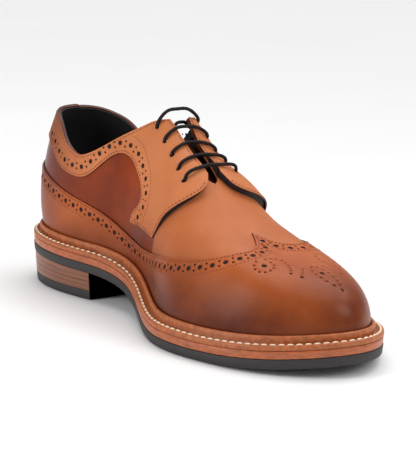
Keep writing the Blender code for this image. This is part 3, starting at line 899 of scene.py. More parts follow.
class Panel:
    """Piece of leather drawn in a chart: an outline with punched holes, laid on the last."""

    def __init__(self, chart, outline, holes, spacing):
        """holes is a list of (a, h, radius)."""
        self.chart = chart
        rings = [self.circle(a, h, radius, 12 if radius > 0.8 else 8) for a, h, radius in holes]
        around = [self.circle(a, h, radius * 1.3 + 0.18, 10) for a, h, radius in holes]
        points, edges = [], []
        for ring in [outline, *rings]:
            first = len(points)
            points += [Vector(p) for p in ring]
            edges += [(first + i, first + (i + 1) % len(ring)) for i in range(len(ring))]
        for loose in [*around, self.fill(outline, rings, spacing)]:
            points += [Vector(p) for p in loose]
        result = delaunay_2d_cdt(points, edges, [], 0, 1e-5)
        flat = np.array([tuple(v) for v in result[0]], float)
        faces = np.array([f for f in result[2] if len(f) == 3], int)
        faces = faces[self.solid(flat[faces].mean(axis=1), outline, rings)]
        used = np.unique(faces)
        renumber = np.zeros(len(flat), int)
        renumber[used] = np.arange(len(used))
        self.flat = flat[used]
        self.faces = renumber[faces]
        self.points = chart.place(*self.flat.T)
        self.normal = chart.place(*self.flat.T, 1.0) - self.points
        corners = self.points[self.faces]
        face = np.cross(corners[:, 1] - corners[:, 0], corners[:, 2] - corners[:, 0])
        if np.sum(face * self.normal[self.faces[:, 0]]) < 0:
            self.faces = self.faces[:, ::-1]

    def fill(self, outline, rings, spacing):
        """Even points inside the outline, clear of it and of the holes."""
        low, high = outline.min(axis=0), outline.max(axis=0)
        a = np.arange(low[0] + spacing / 2, high[0], spacing)
        h = np.arange(low[1] + spacing / 2, high[1], spacing)
        grid = np.stack(np.meshgrid(a, h, indexing="ij"), -1).reshape(-1, 2)
        grid[:, 0] += np.where(np.round(grid[:, 1] / spacing) % 2 > 0, spacing / 2, 0)
        grid = grid[inside_polygon(grid, outline)]
        grid = grid[self.clear_of(grid, outline, 0.45 * spacing)]
        for ring in rings:
            centre = ring.mean(axis=0)
            reach = np.abs(ring - centre).max(axis=0) * 1.5 + 0.4
            grid = grid[(np.abs((grid - centre) / reach) ** 2).sum(axis=1) > 1]
        return grid

    @staticmethod
    def solid(middles, outline, rings):
        """True for each face that lies inside the outline and outside the holes."""
        kept = inside_polygon(middles, outline)
        for ring in rings:
            near = np.abs(middles - ring.mean(axis=0)).max(axis=1) < 6
            index = np.where(near & kept)[0]
            kept[index[inside_polygon(middles[index], ring)]] = False
        return kept

    def circle(self, a, h, radius, sides):
        """Chart outline of a round hole."""
        turn = 2 * np.pi * np.arange(sides)[:, None] / sides
        a = np.full(sides, float(a))
        h = np.full(sides, float(h))
        _, by_a, _, normal = self.chart.frame(a, h)
        first = unit(by_a)
        second = np.cross(normal, first)
        da, dh = self.chart.shift(a, h, (first * np.cos(turn) + second * np.sin(turn)) * radius)
        return np.stack([a + da, h + dh], -1)

    @staticmethod
    def clear_of(points, outline, distance):
        kept = np.ones(len(points), bool)
        for a, b in zip(outline, np.roll(outline, -1, axis=0)):
            span = b - a
            t = np.clip(((points - a) @ span) / max(span @ span, 1e-9), 0, 1)
            kept &= np.linalg.norm(points - (a + t[:, None] * span), axis=1) > distance
        return kept

    def body(self, name, materials, near, far, lift=None, edge_drop=0.35):
        """Solid panel between two heights; a second material goes on its cut edges."""
        raised = lift(self.flat) if lift else 0.0
        sheet = Sheet(self.points, self.faces)
        points, faces = sheet.thicken(near + raised, far + raised, self.normal, edge_drop)
        made = add_mesh(name, points, faces, materials, sharp=50)
        for polygon in made.data.polygons[2 * len(self.faces):]:
            polygon.material_index = len(materials) - 1
        return made


# pattern lines


def table_in_chart(chart, table, count, end=None):
    """Smooth chart line through rows of x and girth on the inner side, in even chart steps."""
    u = LAST.u_at(column(table, 0))
    if table[0][0] < 0:
        u[0] = 0
    if end is not None:
        u[-1] = end
    a = u * ALONG if chart.centre == 0 else -(1 - u) * ALONG
    line = np.stack([a, column(table, 1)], -1)
    length = lengths(line)
    return spline(length, line, np.linspace(0, length[-1], count))


def mirrored(line):
    """The line on the other side, run the other way."""
    return line[::-1] * (-1, 1)


def wing_half(distance):
    """Inner half of the line at a distance below the wing's top edge, from the heel to the middle."""
    line = TOE_CHART.follow(table_in_chart(TOE_CHART, WING, 170, 1.0), -distance)
    past = np.argmax(line[:, 0] > -1e-9)
    if line[past, 0] > -1e-9:
        before, after = line[past - 1], line[past]
        share = before[0] / (before[0] - after[0])
        line = np.vstack([line[:past], before + share * (after - before)])
    line[-1, 0] = 0
    return line


def wing_line(distance=0.0):
    """Line right round the wing from the inner heel over the peak to the outer heel."""
    inner = wing_half(distance)
    return np.vstack([inner[:-1], mirrored(inner)])


def wing_outline():
    """Outline of the wing: its top edge, and its foot just over the welt's rib."""
    foot_a = np.linspace(ALONG, -ALONG, 300)
    return np.vstack([wing_line(), np.stack([foot_a, np.full(len(foot_a), WING_FOOT)], -1)])


def facing_side(side):
    """Top, front, foot and strip edges of one half of the facing panel, in that order from the heel."""
    u = np.linspace(LAST.u_at(-1), LAST.u_at(FACING_TIP), 150)
    top = np.stack([u * ALONG, LAST.open_at(side, u) * LAST.full(u)], -1)
    front = table_in_chart(HEEL_CHART, FRONT_EDGE, 40)[::-1]
    strip = table_in_chart(HEEL_CHART, STRIP_EDGE, 130)[::-1]
    foot = np.linspace(front[-1], strip[0], 22)[1:-1]
    if side > 0:
        front[:, 0] += OUTER_FRONT * np.clip((OUTER_FRONT_TOP - front[:, 1]) / OUTER_FRONT_FADE, 0, 1)
        foot[:, 0] += OUTER_FRONT * np.linspace(1, 0, len(foot))
    front[:, 1] = np.minimum(front[:, 1], top[-1, 1] - 1.5)
    return [line * (-side, 1) for line in (top, front, foot, strip)]


def below_opening(line, side):
    """The part of a line up to where it first comes near the collar's edge."""
    u = np.abs(line[:, 0]) / ALONG
    clear = line[:, 1] < LAST.open_at(side, u) * LAST.full(u) - 3.0
    return line if clear.all() else line[:int(np.argmin(clear))]


def broguing(chart, line, pitch, inset):
    """Row of large holes with pairs of small ones between them; inset is in pitches, at each end."""
    spots, along = chart.spaced(line, pitch, inset, inset)
    holes = [(a, h, BIG_HOLE) for a, h in spots]
    middle = (spots[1:] + spots[:-1]) / 2
    _, _, _, normal = chart.frame(*middle.T)
    across = unit(np.cross(normal, along[1:] + along[:-1]))
    for sign in (-1, 1):
        steps = chart.shift(*middle.T, across * SMALL_ASIDE * sign)
        holes += [(a, h, SMALL_HOLE) for a, h in middle + np.stack(steps, -1)]
    return holes


def clear_holes(chart, holes, spacing):
    """Leaves out a hole that would touch one already kept."""
    kept = []
    for a, h, r in holes:
        place = chart.place(a, h)
        if all(np.linalg.norm(place - p) > r + q + spacing for p, q, _ in kept):
            kept.append((place, r, (a, h, r)))
    return [k[2] for k in kept]


# medallion on the toe: its middle hole, then rows of forward, aside and radius from there, all mirrored
MEDALLION_X = 262.0
MEDALLION_Y = 4.0
DROP = (
    (0, 0, BIG_HOLE), (17, 0, 0.95), (13, 2.1, 0.7), (8.8, 3.6, 0.7), (4.5, 4.4, 0.7),
    (0.2, 4.6, 0.62), (-4.0, 4.0, 0.62), (-7.4, 2.3, 0.62), (-9.0, 0, 0.62),
)
STALK = ((-8.0, 7.0, 0.5), (-6.2, 8.7, 0.5), (-4.4, 10.4, 0.5), (-2.6, 12.1, 0.5), (-0.2, 14.4, 0.95))
HORN = (
    (-24.8, 20.6, 0.6), (-24.4, 17.4, 0.6), (-23.2, 14.4, 0.6), (-20.6, 12.4, 0.6), (-17.4, 12.2, 0.6),
    (-14.2, 12.9, 0.6), (-11.2, 14.1, 0.6), (-8.4, 15.6, 0.6), (-5.9, 17.6, 0.8),
)

# ring of small holes round each side hole: middle, radius, count, first turn and step in degrees
CURL_MIDDLE = (-19.6, 25.6)
CURL_REACH = 5.6
CURL_HOLES = 9
CURL_START = -100
CURL_STEP = 33


def curl():
    spots = [(*CURL_MIDDLE, BIG_HOLE)]
    for k in range(CURL_HOLES):
        turn = math.radians(CURL_START + CURL_STEP * k)
        forward = CURL_MIDDLE[0] + CURL_REACH * math.cos(turn)
        aside = CURL_MIDDLE[1] + CURL_REACH * math.sin(turn)
        spots.append((forward, aside, 0.6))
    return spots


def on_top(x, y):
    """Place in the toe chart under a plan point on the top of the toe."""
    half = LAST.ROWS // 2
    gaps = np.hypot(LAST.points[:, :, half:, 0] - x, LAST.points[:, :, half:, 1] - y)
    k = int(gaps[1].min() < gaps[0].min())
    i, j = np.unravel_index(gaps[k].argmin(), gaps[k].shape)
    a = (1 - LAST.u[i]) * ALONG * (1 if k else -1)
    spot = np.array([[a, LAST.v[j + half] * LAST.full(LAST.u[i])]])
    for _ in range(2):
        point, _, _, normal = TOE_CHART.frame(*spot.T)
        miss = np.array([[x, y]]) - point[:, :2]
        rise = -np.sum(normal[:, :2] * miss, axis=1) / normal[:, 2]
        spot = spot + np.stack(TOE_CHART.shift(*spot.T, np.column_stack([miss, rise])), -1)
    return float(spot[0, 0]), float(spot[0, 1])


def medallion():
    holes = []
    for forward, aside, radius in [*DROP, *STALK, *HORN, *curl()]:
        for sign in (-1, 1) if aside else (1,):
            a, h = on_top(MEDALLION_X + forward, MEDALLION_Y + sign * aside)
            holes.append((a, h, radius))
    return holes


# pieces of the upper

# centre of each soft dent in the leather, its reach and its depth
DENTS = (
    (186, -26, 66, 9, -0.5),
    (194, -30, 58, 10, 0.35),
    (186, 22, 66, 9, -0.5),
    (92, -28, 60, 16, -0.5),
    (70, -34, 50, 14, 0.3),
    (92, 32, 60, 16, -0.5),
)

# x of columns added behind the throat's top and ahead of its end; x where the quarter's colour ends
ADDED_COLUMNS = (131.5, 176, 177.5, 178.5, 179.3)
QUARTER_END = 150.0


def ring_columns(count, rows, high_inset):
    """Columns right round the last from the foot to the opening."""
    u = np.sort(np.r_[np.linspace(0, 1, count), LAST.u_at(ADDED_COLUMNS)])
    columns = []
    for side, us in ((-1, u), (1, u[-2:0:-1])):
        for one in us:
            top = LAST.open_at(side, one)
            inset = high_inset / LAST.full(one) if top < 0.999 else 0.0
            columns.append(LAST.place(side, one, np.linspace(0, top - inset, rows)))
    return columns


def soft_dents(points):
    """Shallow hollows and swells of the soft leather."""
    x, y, z = points.T
    depth = np.zeros(len(points))
    for cx, cy, cz, reach, amount in DENTS:
        gap = np.sqrt((x - cx) ** 2 + (y - cy) ** 2 + (z - cz) ** 2) / reach
        depth += amount * np.exp(-gap ** 2)
    return depth


def eyelet_points():
    """For each eyelet and side: its point, the way up from it, and its place u, v."""
    places = []
    for x, distance in EYELETS:
        pair = []
        for side in (-1, 1):
            u = float(LAST.u_at(x))
            v = 1 - distance / LAST.girth_at(side, u)
            here = LAST.place(side, u, v)
            pair.append((here, unit(LAST.place(side, u, v, 1.0) - here), u, v))
        places.append(pair)
    return places


def build_upper(materials):
    eyes = np.array([spot[0] for pair in eyelet_points() for spot in pair])

    def keep(middles):
        return np.linalg.norm(middles[:, None, :] - eyes[None], axis=2).min(axis=1) > EYELET_CLEAR

    sheet = Sheet.from_grid(ring_columns(*UPPER_GRID, 0.0), True, keep)
    normal = sheet.normals()
    sheet.points = sheet.points + normal * soft_dents(sheet.points)[:, None]
    points, faces = sheet.thicken(-LINING, 0.0, normal)
    upper = add_mesh("upper_leather", points, faces, [materials["quarter"], materials["vamp"]])
    for polygon in upper.data.polygons:
        polygon.material_index = int(polygon.center.x > (QUARTER_END - CENTRE[0]) * SIZE)
    lining = Sheet.from_grid(ring_columns(*LINING_GRID, LINING_INSET), True, keep)
    points, faces = lining.thicken(-WALL, -LINING - 0.05)
    return upper, add_mesh("upper_lining", points, faces, [materials["lining"]])


def facing_lift(flat):
    """The facing's front edge stands off the vamp, more on the outer side."""
    x = np.interp(np.abs(flat[:, 0]) / ALONG, LAST.u, LAST.x)
    amount = np.where(flat[:, 0] < 0, LIFT_OUTER, LIFT_INNER)
    return amount * eased((x - LIFT_X) / LIFT_OVER) * eased((flat[:, 1] - LIFT_GIRTH) / LIFT_OVER)


def build_wing(materials, stitches, shades):
    row = broguing(TOE_CHART, wing_half(WING_ROW)[::-1], WING_PITCH, 0.0)
    row += [(-a, h, r) for a, h, r in row]
    holes = clear_holes(TOE_CHART, row + medallion(), WING_CLEAR)
    panel = Panel(TOE_CHART, wing_outline(), holes, WING_SPACING)
    stitches += [(TOE_CHART, wing_line(distance), None) for distance in WING_STITCH_ROWS]
    shades += [(TOE_CHART, hole, None) for hole in holes]
    return panel.body("wing_panel", [materials["wing"], materials["edge"]], PANEL_GAP, PANEL)


def build_facing(materials, stitches, shades):
    """Facing panel, its lining and the black wall of lining and painted shade behind its front edge."""
    halves = facing_side(-1), facing_side(1)
    holes, eyes = [], []
    for sign, (top, front, foot, strip) in zip((1, -1), halves):
        row = HEEL_CHART.follow(strip, -FACING_ROW * sign)
        holes += broguing(HEEL_CHART, row[np.abs(row[:, 0]) > 3], FACING_PITCH, 0.7)
        rows = [below_opening(HEEL_CHART.follow(strip, -distance * sign)[2:-4], -sign)
                for distance in FACING_STITCH_ROWS]
        rows.append(HEEL_CHART.follow(top, -1.5 * sign)[6:-3])
        rows.append(HEEL_CHART.follow(front, -1.4 * sign)[2:-2])
        rows.append(HEEL_CHART.follow(foot, -1.4 * sign))
        stitches += [(HEEL_CHART, line, facing_lift) for line in rows]
    holes = clear_holes(HEEL_CHART, holes, FACING_CLEAR)
    shades += [(HEEL_CHART, hole, facing_lift) for hole in holes]
    for pair in eyelet_points():
        for sign, (_, _, u, v) in zip((1, -1), pair):
            eyes.append((sign * u * ALONG, v * LAST.full(u), EYELET_R))
    loops = [np.vstack(half) for half in halves]
    outline = np.vstack([loops[0], loops[1][::-1][1:-1]])
    panel = Panel(HEEL_CHART, outline, holes + eyes, FACING_SPACING)
    leathers = [materials["facing"], materials["edge"]]
    lining = [materials["lining"]]
    facing = panel.body("facing_panel", leathers, FACING_LOW, PANEL + 0.05, facing_lift)
    under = panel.body("facing_lining", lining, PANEL_GAP, FACING_LINING, facing_lift, 0.0)
    return facing, under, build_wedge_lining_shade(halves, materials)


def build_wedge_lining_shade(halves, materials):
    """Black wall in the wedge between the facing's front edge and the vamp: the lining's edge, and painted
    shade deep in the gap.
    """
    points, faces = [], []
    for sign, (top, front, _, _) in zip((1, -1), halves):
        line = np.vstack([top[-14:], HEEL_CHART.follow(front, -1.6 * sign)])
        low = HEEL_CHART.place(*line.T)
        high = HEEL_CHART.place(*line.T, 0.3 + facing_lift(line))
        start = len(points)
        points += [p for pair in zip(low, high) for p in pair]
        faces += [(k, k + 2, k + 3, k + 1) for k in range(start, start + 2 * len(line) - 2, 2)]
    return add_mesh("facing_wedge_lining_shade", points, faces, [materials["lining"]])


def build_shades(shades, materials):
    """Dark floor under each punched hole."""
    points, faces = [], []
    turn = 2 * np.pi * np.arange(8)[:, None] / 8
    for chart, (a, h, radius), lift in shades:
        raised = float(lift(np.array([[a, h]]))[0]) if lift else 0.0
        centre, by_a, _, normal = chart.frame(a, h)
        first = unit(by_a)
        second = np.cross(normal, first)
        ring = (first * np.cos(turn) + second * np.sin(turn)) * (radius + 0.12)
        faces.append(list(range(len(points), len(points) + 8)))
        points += list(centre + normal * (HOLE_FLOOR + raised) + ring)
    return add_mesh("hole_floors", points, faces, [materials["hole"]])


# outline of a stitch: place along it, share of its width, height; and place across it, height
STITCH_ALONG = ((-0.5, 0.35, -0.25), (-0.3, 0.9, 0.7), (0.0, 1.0, 1.0), (0.3, 0.9, 0.7), (0.5, 0.35, -0.25))
STITCH_ACROSS = ((-0.5, -0.3), (-0.3, 0.75), (0.3, 0.75), (0.5, -0.3))


def stitch_template(length, width, height):
    """Low stitch along x on the surface z = 0."""
    points = []
    for x, w, z in STITCH_ALONG:
        for y, lift in STITCH_ACROSS:
            high = z * (0.5 + 0.5 * lift) if lift > 0 else lift
            points.append((x * length, y * width * w, height * high))
    faces = [(a, a + 4, a + 5, a + 1) for i in range(4) for a in range(4 * i, 4 * i + 3)]
    faces += [(0, 1, 2, 3), (19, 18, 17, 16)]
    return np.array(points), faces


def lay_stitches(places, along, normal, template):
    """Points and faces of one stitch at each place."""
    shape, rings = template
    axes = np.stack([along, np.cross(normal, along), normal], 1)
    points = places[:, None, :] + shape @ axes
    faces = [[i * len(shape) + k for k in ring] for i in range(len(places)) for ring in rings]
    return points.reshape(-1, 3), faces


def build_stitches(rows, materials):
    """Every row of tan thread on the panels, in one mesh."""
    template = stitch_template(*PANEL_STITCH)
    points, faces = np.empty((0, 3)), []
    for chart, line, lift in rows:
        spots, along = chart.spaced(line, PANEL_STITCH_PITCH)
        _, _, _, normal = chart.frame(*spots.T)
        raised = lift(spots) if lift else np.zeros(len(spots))
        along = unit(along - normal * np.sum(along * normal, axis=1, keepdims=True))
        places = chart.place(*spots.T) + normal * (PANEL - 0.03 + raised)[:, None]
        more, rings = lay_stitches(places, along, normal, template)
        faces += [[i + len(points) for i in ring] for ring in rings]
        points = np.vstack([points, more])
    return add_mesh("panel_stitches", points, faces, [materials["thread"]])


def build_tongue(materials):
    columns = []
    for x in np.linspace(*TONGUE_ENDS, 54):
        wide = TONGUE_HALF - TONGUE_TAPER * np.interp(x, TONGUE_TAPER_X, (0, 1))
        inner = LAST.near_ridge(-1, x, np.linspace(1, 0, 18) * wide)
        outer = LAST.near_ridge(1, x, np.linspace(0, 1, 18)[1:] * wide)
        columns.append([*inner, *outer])
    sheet = Sheet.from_grid(columns, False)
    x = sheet.points[:, 0]
    rise = eased((x - TONGUE_RISE[0]) / TONGUE_RISE[1])
    wave = TONGUE_WAVE[0] * np.sin(x / TONGUE_WAVE[1])
    top = -TONGUE_DEPTH + (TONGUE_DEPTH - WALL - 4 * GAP) * rise + wave
    points, faces = sheet.thicken(top - TONGUE_THICK, top, edge_drop=0.3)
    return add_mesh("tongue_leather_painted_shade", points, faces, [materials["tongue"]])


# sole


def outline_columns(count, u_to):
    """Foot points and outward directions from the heel to u_to, of the inner and of the outer side."""
    end = np.pi if u_to == 1.0 else np.pi / 2
    u = (1 - np.cos(np.linspace(0, end, count))) * (u_to / 2 if u_to == 1.0 else u_to)
    out = []
    for k, side in ((0, -1.0), (1, 1.0)):
        s = np.interp(u, LAST.u, LAST.s[k])
        out.append((foot_point(side * np.ones(count), s), outward(side * np.ones(count), s)))
    return out


def build_layer(name, material, edge_low, edge_high, low, high, soft, x_to=None):
    """Sole layer with softly rounded edges up to x_to; low and high are functions of x."""
    count = 150
    u_to = 1.0 if x_to is None else float(LAST.u_at(x_to))
    profile = ((edge_low - soft, 0, 0), (edge_low - 0.3 * soft, 0, 0.3 * soft), (edge_low, 0, soft),
               (edge_high, 1, -soft), (edge_high - 0.3 * soft, 1, -0.3 * soft), (edge_high - soft, 1, 0))
    points = []
    for foot, out in outline_columns(count, u_to):
        for j in range(count):
            for edge, share, rise in profile:
                x, y = foot[j] + out[j] * edge
                if x_to is not None and j == count - 1:
                    x = x_to
                points.append((x, y, float(low(x) * (1 - share) + high(x) * share + rise)))
    size = len(profile)
    top = size - 1
    last = count - 1

    def index(side, j, i):
        return (side * count + j) * size + i

    faces = []
    for j in range(last):
        for i in range(top):
            faces.append((index(0, j, i), index(0, j + 1, i), index(0, j + 1, i + 1), index(0, j, i + 1)))
            faces.append((index(1, j, i), index(1, j, i + 1), index(1, j + 1, i + 1), index(1, j + 1, i)))
        faces.append((index(0, j, 0), index(1, j, 0), index(1, j + 1, 0), index(0, j + 1, 0)))
        faces.append((index(0, j, top), index(0, j + 1, top), index(1, j + 1, top), index(1, j, top)))
    if x_to is not None:
        for i in range(size):
            after = (i + 1) % size
            faces.append((index(0, last, i), index(1, last, i), index(1, last, after), index(0, last, after)))
    made = add_mesh(name, points, faces, [material], sharp=35)
    weld = made.modifiers.new("weld", "WELD")
    weld.merge_threshold = 0.00001
    return made


def build_soles(materials):
    """Sole, insole and heel layers by the name of the solid that each replaces."""

    def above(height):
        return lambda x: bottom(x) + height

    def level(share, shift=0.0):
        return lambda x: TOP_PIECE + share * (bottom(x) - TOP_PIECE) + shift

    rubber = materials["rubber"]
    pieces = {
        "outsole": build_layer("outsole_rubber", rubber, OUTSOLE_EDGE - 0.5, OUTSOLE_EDGE - 0.1,
                               above(0), above(OUTSOLE - 0.15), 0.6),
        "midsole": build_layer("midsole_edge", materials["midsole"], MIDSOLE_EDGE + 0.1, MIDSOLE_EDGE + 0.2,
                               above(OUTSOLE), above(SEAT - GAP), 0.5),
        "insole": build_layer("insole_sock", materials["sock"], -WALL - 0.4, -WALL - 0.4,
                              above(SEAT), above(SEAT + INSOLE), 0.8),
    }
    for k in range(4):
        edge = GROUND_EDGE + (STACK_EDGE - GROUND_EDGE) * (k + 0.7) / 4
        name = f"heel_lift_{4 - k}"
        pieces[name] = build_layer(name + "_leather", materials["stack"], edge - 0.12, edge + 0.12,
                                   level(k / 4), level((k + 1) / 4, -0.12), 0.14, BREAST_X)
    pieces["heel_top_piece"] = build_layer("heel_top_rubber", rubber, GROUND_EDGE - 0.5, GROUND_EDGE,
                                           lambda x: 0.0, lambda x: TOP_PIECE - 0.15, 0.5, BREAST_X)
    return pieces


# section of the welt from its foot inside, over the rib and the groove, to the outer edge. Rows of the
# rib are distance from the upper and height; rows of the flat part are share of its width and height
WELT_RIB = (
    (0.1, 0.0), (0.1, FLANGE - 0.3), (PANEL + 0.3, FLANGE), (PANEL + 0.3, FLANGE + 3.4),
    (PANEL + 0.65, FLANGE + 4.1), (PANEL + 1.3, FLANGE + 4.4), (PANEL + 2.0, FLANGE + 4.2),
    (PANEL + 2.5, FLANGE + 3.5), (PANEL + 2.7, FLANGE + 2.0), (PANEL + 2.7, FLANGE - 1.1),
)
WELT_FLAT = (
    (0.0, FLANGE - 1.5), (0.2, FLANGE - 1.2), (0.35, FLANGE - 0.3), (0.55, FLANGE), (0.8, FLANGE),
    (0.95, FLANGE - 0.35), (1.0, FLANGE - 1.0), (1.0, 0.5), (0.9, 0.0),
)
GROOVE = PANEL + 2.9
STITCH_SHARE = 0.6
WELT_SEAT = SEAT - 0.15


def welt_ring(count):
    """Foot points, outward directions, side and place right round the shoe."""
    u = np.linspace(0, 1, count)
    rows = []
    for k, side, us in ((0, -1.0, u), (1, 1.0, u[-2:0:-1])):
        s = np.interp(us, LAST.u, LAST.s[k])
        ones = np.ones(len(us))
        rows.append((foot_point(side * ones, s), outward(side * ones, s), side * ones, us))
    return [np.concatenate(parts) for parts in zip(*rows)]


def welt_hug(ring, height):
    """How far the upper's surface stands out from the foot line at a height above its foot."""
    spread = []
    for foot, out, side, u in zip(*ring):
        heights = LAST.points[int(side > 0), int(round(u * LAST.COLUMNS)), :120, 2]
        v = np.interp(heights[0] + height, heights, LAST.v[:120])
        spread.append((LAST.look(LAST.points, side, u, v)[:2] - foot) @ out)
    return np.array(spread)


def welt_flat(ring, share):
    """Plan points at a share of the way from the groove to the outer edge."""
    foot, out, _, _ = ring
    groove = welt_hug(ring, FLANGE + 2) + GROOVE
    return foot + out * (groove + share * (WELT_EDGE - groove))[:, None]


def on_welt(plan, height):
    return np.column_stack([plan, bottom(plan[:, 0]) + WELT_SEAT + height])


def build_welt(materials):
    ring = welt_ring(260)
    foot, out, _, _ = ring
    rows = []
    for distance, height in WELT_RIB:
        hug = welt_hug(ring, min(height, FLANGE + 3.2))
        rows.append(on_welt(foot + out * (hug + distance)[:, None], height))
    rows += [on_welt(welt_flat(ring, share), height) for share, height in WELT_FLAT]
    points = np.stack(rows, 1)
    count, size = points.shape[:2]
    faces = []
    for j in range(count):
        for i in range(size):
            here, ahead = j * size, (j + 1) % count * size
            after = (i + 1) % size
            faces.append((here + i, here + after, ahead + after, ahead + i))
    return add_mesh("storm_welt_leather", points.reshape(-1, 3), faces, [materials["welt"]], sharp=60)


def build_welt_stitches(materials):
    """Cream lock stitches beside the welt's groove, right round."""
    line = on_welt(welt_flat(welt_ring(500), STITCH_SHARE), FLANGE - 0.1)
    loop = np.vstack([line, line[:1]])
    length = lengths(loop)
    count = int(round(length[-1] / WELT_STITCH_PITCH))
    at = length[-1] * np.arange(count) / count
    places = walk(loop, length, at)
    along = unit(walk(loop, length, (at + 1) % length[-1]) - places)
    up = unit(np.array([0, 0, 1.0]) - along * along[:, 2:3])
    points, faces = lay_stitches(places, along, up, stitch_template(*WELT_STITCH))
    return add_mesh("welt_stitches", points, faces, [materials["cream"]])


# lace


def smooth_path(knots, per_span):
    """Smooth curve through the knots, with as many points in each span."""
    knots = np.array(knots, float)
    key = np.r_[0, np.cumsum(np.linalg.norm(np.diff(knots, axis=0), axis=1) ** 0.5)]
    at = np.concatenate([np.linspace(a, b, per_span, endpoint=False) for a, b in zip(key, key[1:])])
    return spline(key, knots, np.r_[at, key[-1]])


def lace_path():
    """Five bars over the facings, and the hidden runs from each eyelet to the next."""
    knots = []
    eyes = eyelet_points()
    for number, pair in enumerate(eyes):
        x = EYELETS[number][0]
        runs = []
        for side, (place, up, u, _) in zip((-1, 1), pair):
            lift = float(facing_lift(np.array([[-side * u * ALONG, 80.0]]))[0])
            edge = LAST.near_ridge(side, x, THROAT_SIDE, PANEL + LACE_R + BAR_HEIGHT + lift)
            shoulder = place + up * (SHOULDER_HEIGHT + lift) + (edge - place) * SHOULDER_SHARE
            runs.append([place - up * HIDDEN_DEPTH, place + up * (1.0 + 0.5 * lift), shoulder, edge])
        crown = (runs[0][-1] + runs[1][-1]) / 2 + np.array([0.0, 0.0, BAR_CROWN])
        knots += runs[0] + [crown] + runs[1][::-1]
        if number + 1 < len(eyes):
            step = EYELETS[number + 1][0] - x
            for share, side, distance in LACE_RUN:
                depth = HIDDEN_DEPTH + 0.5 * (distance < 10)
                knots.append(LAST.near_ridge(side, x + share * step, distance, -depth))
    return smooth_path(knots, 9)


def build_lace(materials):
    """Round cord with a fine twist in its surface."""
    path = lace_path()
    along = unit(np.gradient(path, axis=0))
    side = np.cross(along[0], (0, 0, 1.0))
    sides = 14
    turn = 2 * np.pi * np.arange(sides)[:, None] / sides
    points = []
    for i, (place, ahead) in enumerate(zip(path, along)):
        side = unit(side - ahead * (side @ ahead))
        radius = LACE_R * (1 + 0.03 * np.cos(4 * turn + i * 1.3))
        points += list(place + radius * (side * np.cos(turn) + np.cross(ahead, side) * np.sin(turn)))
    faces = []
    for start in range(0, len(points) - sides, sides):
        for k in range(sides):
            a, b = start + k, start + (k + 1) % sides
            faces.append((a, b, b + sides, a + sides))
    faces.append(tuple(range(sides))[::-1])
    faces.append(tuple(range(len(points) - sides, len(points))))
    return add_mesh("lace_cord", points, faces, [materials["lace"]], sharp=80)


# stage

# camera of the photograph in last units: its place, the point it looks at and its lean
CAMERA_PLACE = (881.0, -540.0, 242.4)
CAMERA_AIM = (142.0, 14.0, 51.0)
CAMERA_LEAN = math.radians(1.5)
CAMERA_LENS = 118.0

# floor's half width in metres, and just below the soles; strength of the white surroundings
FLOOR_REACH = 6.0
FLOOR_Z = -0.0002
WORLD_POWER = 0.36

# large soft sun from above: its direction, power and width in degrees
SUN_DOWN = (0.15, -0.35, -1)
SUN_POWER = 2.15
SUN_WIDTH = 65

# two soft boxes: name, place, aim, size in metres and power
BOXES = (
    ("side_light", (-0.25, -1.15, 0.55), (-0.08, 0, 0.06), (0.3, 1.1), 7),
    ("toe_light", (0.9, 0.35, 0.7), (0.1, 0, 0.05), (0.5, 0.5), 4),
)


def turned(direction):
    """Turn that points a light or camera along a direction."""
    return Vector(direction).to_track_quat("-Z", "Y")


def add_lights():
    sun = bpy.data.lights.new("soft_sun", "SUN")
    sun.energy = SUN_POWER
    sun.angle = math.radians(SUN_WIDTH)
    link_object("soft_sun", sun).rotation_euler = turned(SUN_DOWN).to_euler()
    for name, place, aim, size, power in BOXES:
        light = bpy.data.lights.new(name, "AREA")
        light.shape = "RECTANGLE"
        light.size, light.size_y = size
        light.energy = power
        made = link_object(name, light)
        made.location = place
        made.rotation_euler = turned(Vector(aim) - Vector(place)).to_euler()


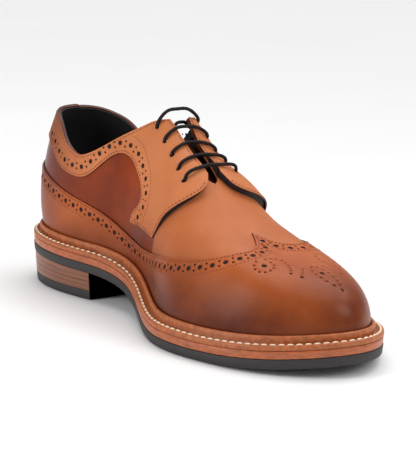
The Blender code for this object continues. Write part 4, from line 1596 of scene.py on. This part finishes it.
def build_stage(materials):
    mesh = bpy.data.meshes.new("floor")
    signs = ((-1, -1), (1, -1), (1, 1), (-1, 1))
    mesh.from_pydata([(x * FLOOR_REACH, y * FLOOR_REACH, FLOOR_Z) for x, y in signs], [], [(0, 1, 2, 3)])
    mesh.materials.append(materials["floor"])
    floor = link_object("floor", mesh)
    world = bpy.data.worlds.new("studio")
    world.use_nodes = True
    background = world.node_tree.nodes["Background"]
    background.inputs["Color"].default_value = (1, 1, 1, 1)
    background.inputs["Strength"].default_value = WORLD_POWER
    bpy.context.scene.world = world
    bpy.context.scene.view_settings.view_transform = "Standard"
    add_lights()


def build_camera():
    camera = bpy.data.cameras.new("camera")
    camera.lens = CAMERA_LENS
    made = link_object("camera", camera)
    place = Vector(to_metres(CAMERA_PLACE))
    made.location = place
    turn = turned(Vector(to_metres(CAMERA_AIM)) - place).to_matrix()
    made.rotation_euler = (turn @ Matrix.Rotation(CAMERA_LEAN, 3, "Z")).to_euler()
    bpy.context.scene.camera = made


def attach(piece, node, slot):
    """The piece rides on the shoe, and may replace a solid; slot is not used."""
    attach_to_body(piece, "root")
    if node:
        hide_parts(node)


def build():
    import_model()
    materials = make_materials()
    upper, lining = build_upper(materials)
    stitches, shades = [], []
    wing = build_wing(materials, stitches, shades)
    facing, under, wedge_lining_shade = build_facing(materials, stitches, shades)
    attach(upper, "upper", "tan_leather")
    attach(lining, None, "lining_leather")
    attach(wing, "long_wing", "tan_leather")
    attach(facing, "facing_collar", "tan_leather")
    attach(under, None, "lining_leather")
    attach(wedge_lining_shade, None, "lining_leather")
    attach(build_shades(shades, materials), None, "lining_leather")
    attach(build_stitches(stitches, materials), None, "tan_leather")
    attach(build_tongue(materials), "tongue", "tan_leather")
    slots = {"outsole": "sole_rubber", "midsole": "midsole_leather", "insole": "lining_leather",
             "heel_top_piece": "sole_rubber"}
    for node, piece in build_soles(materials).items():
        attach(piece, node, slots.get(node, "stacked_leather"))
    attach(build_welt(materials), "storm_welt", "welt_leather")
    attach(build_welt_stitches(materials), None, "welt_leather")
    attach(build_lace(materials), "lace", "lace_cotton")
    build_stage(materials)
    build_camera()


build()
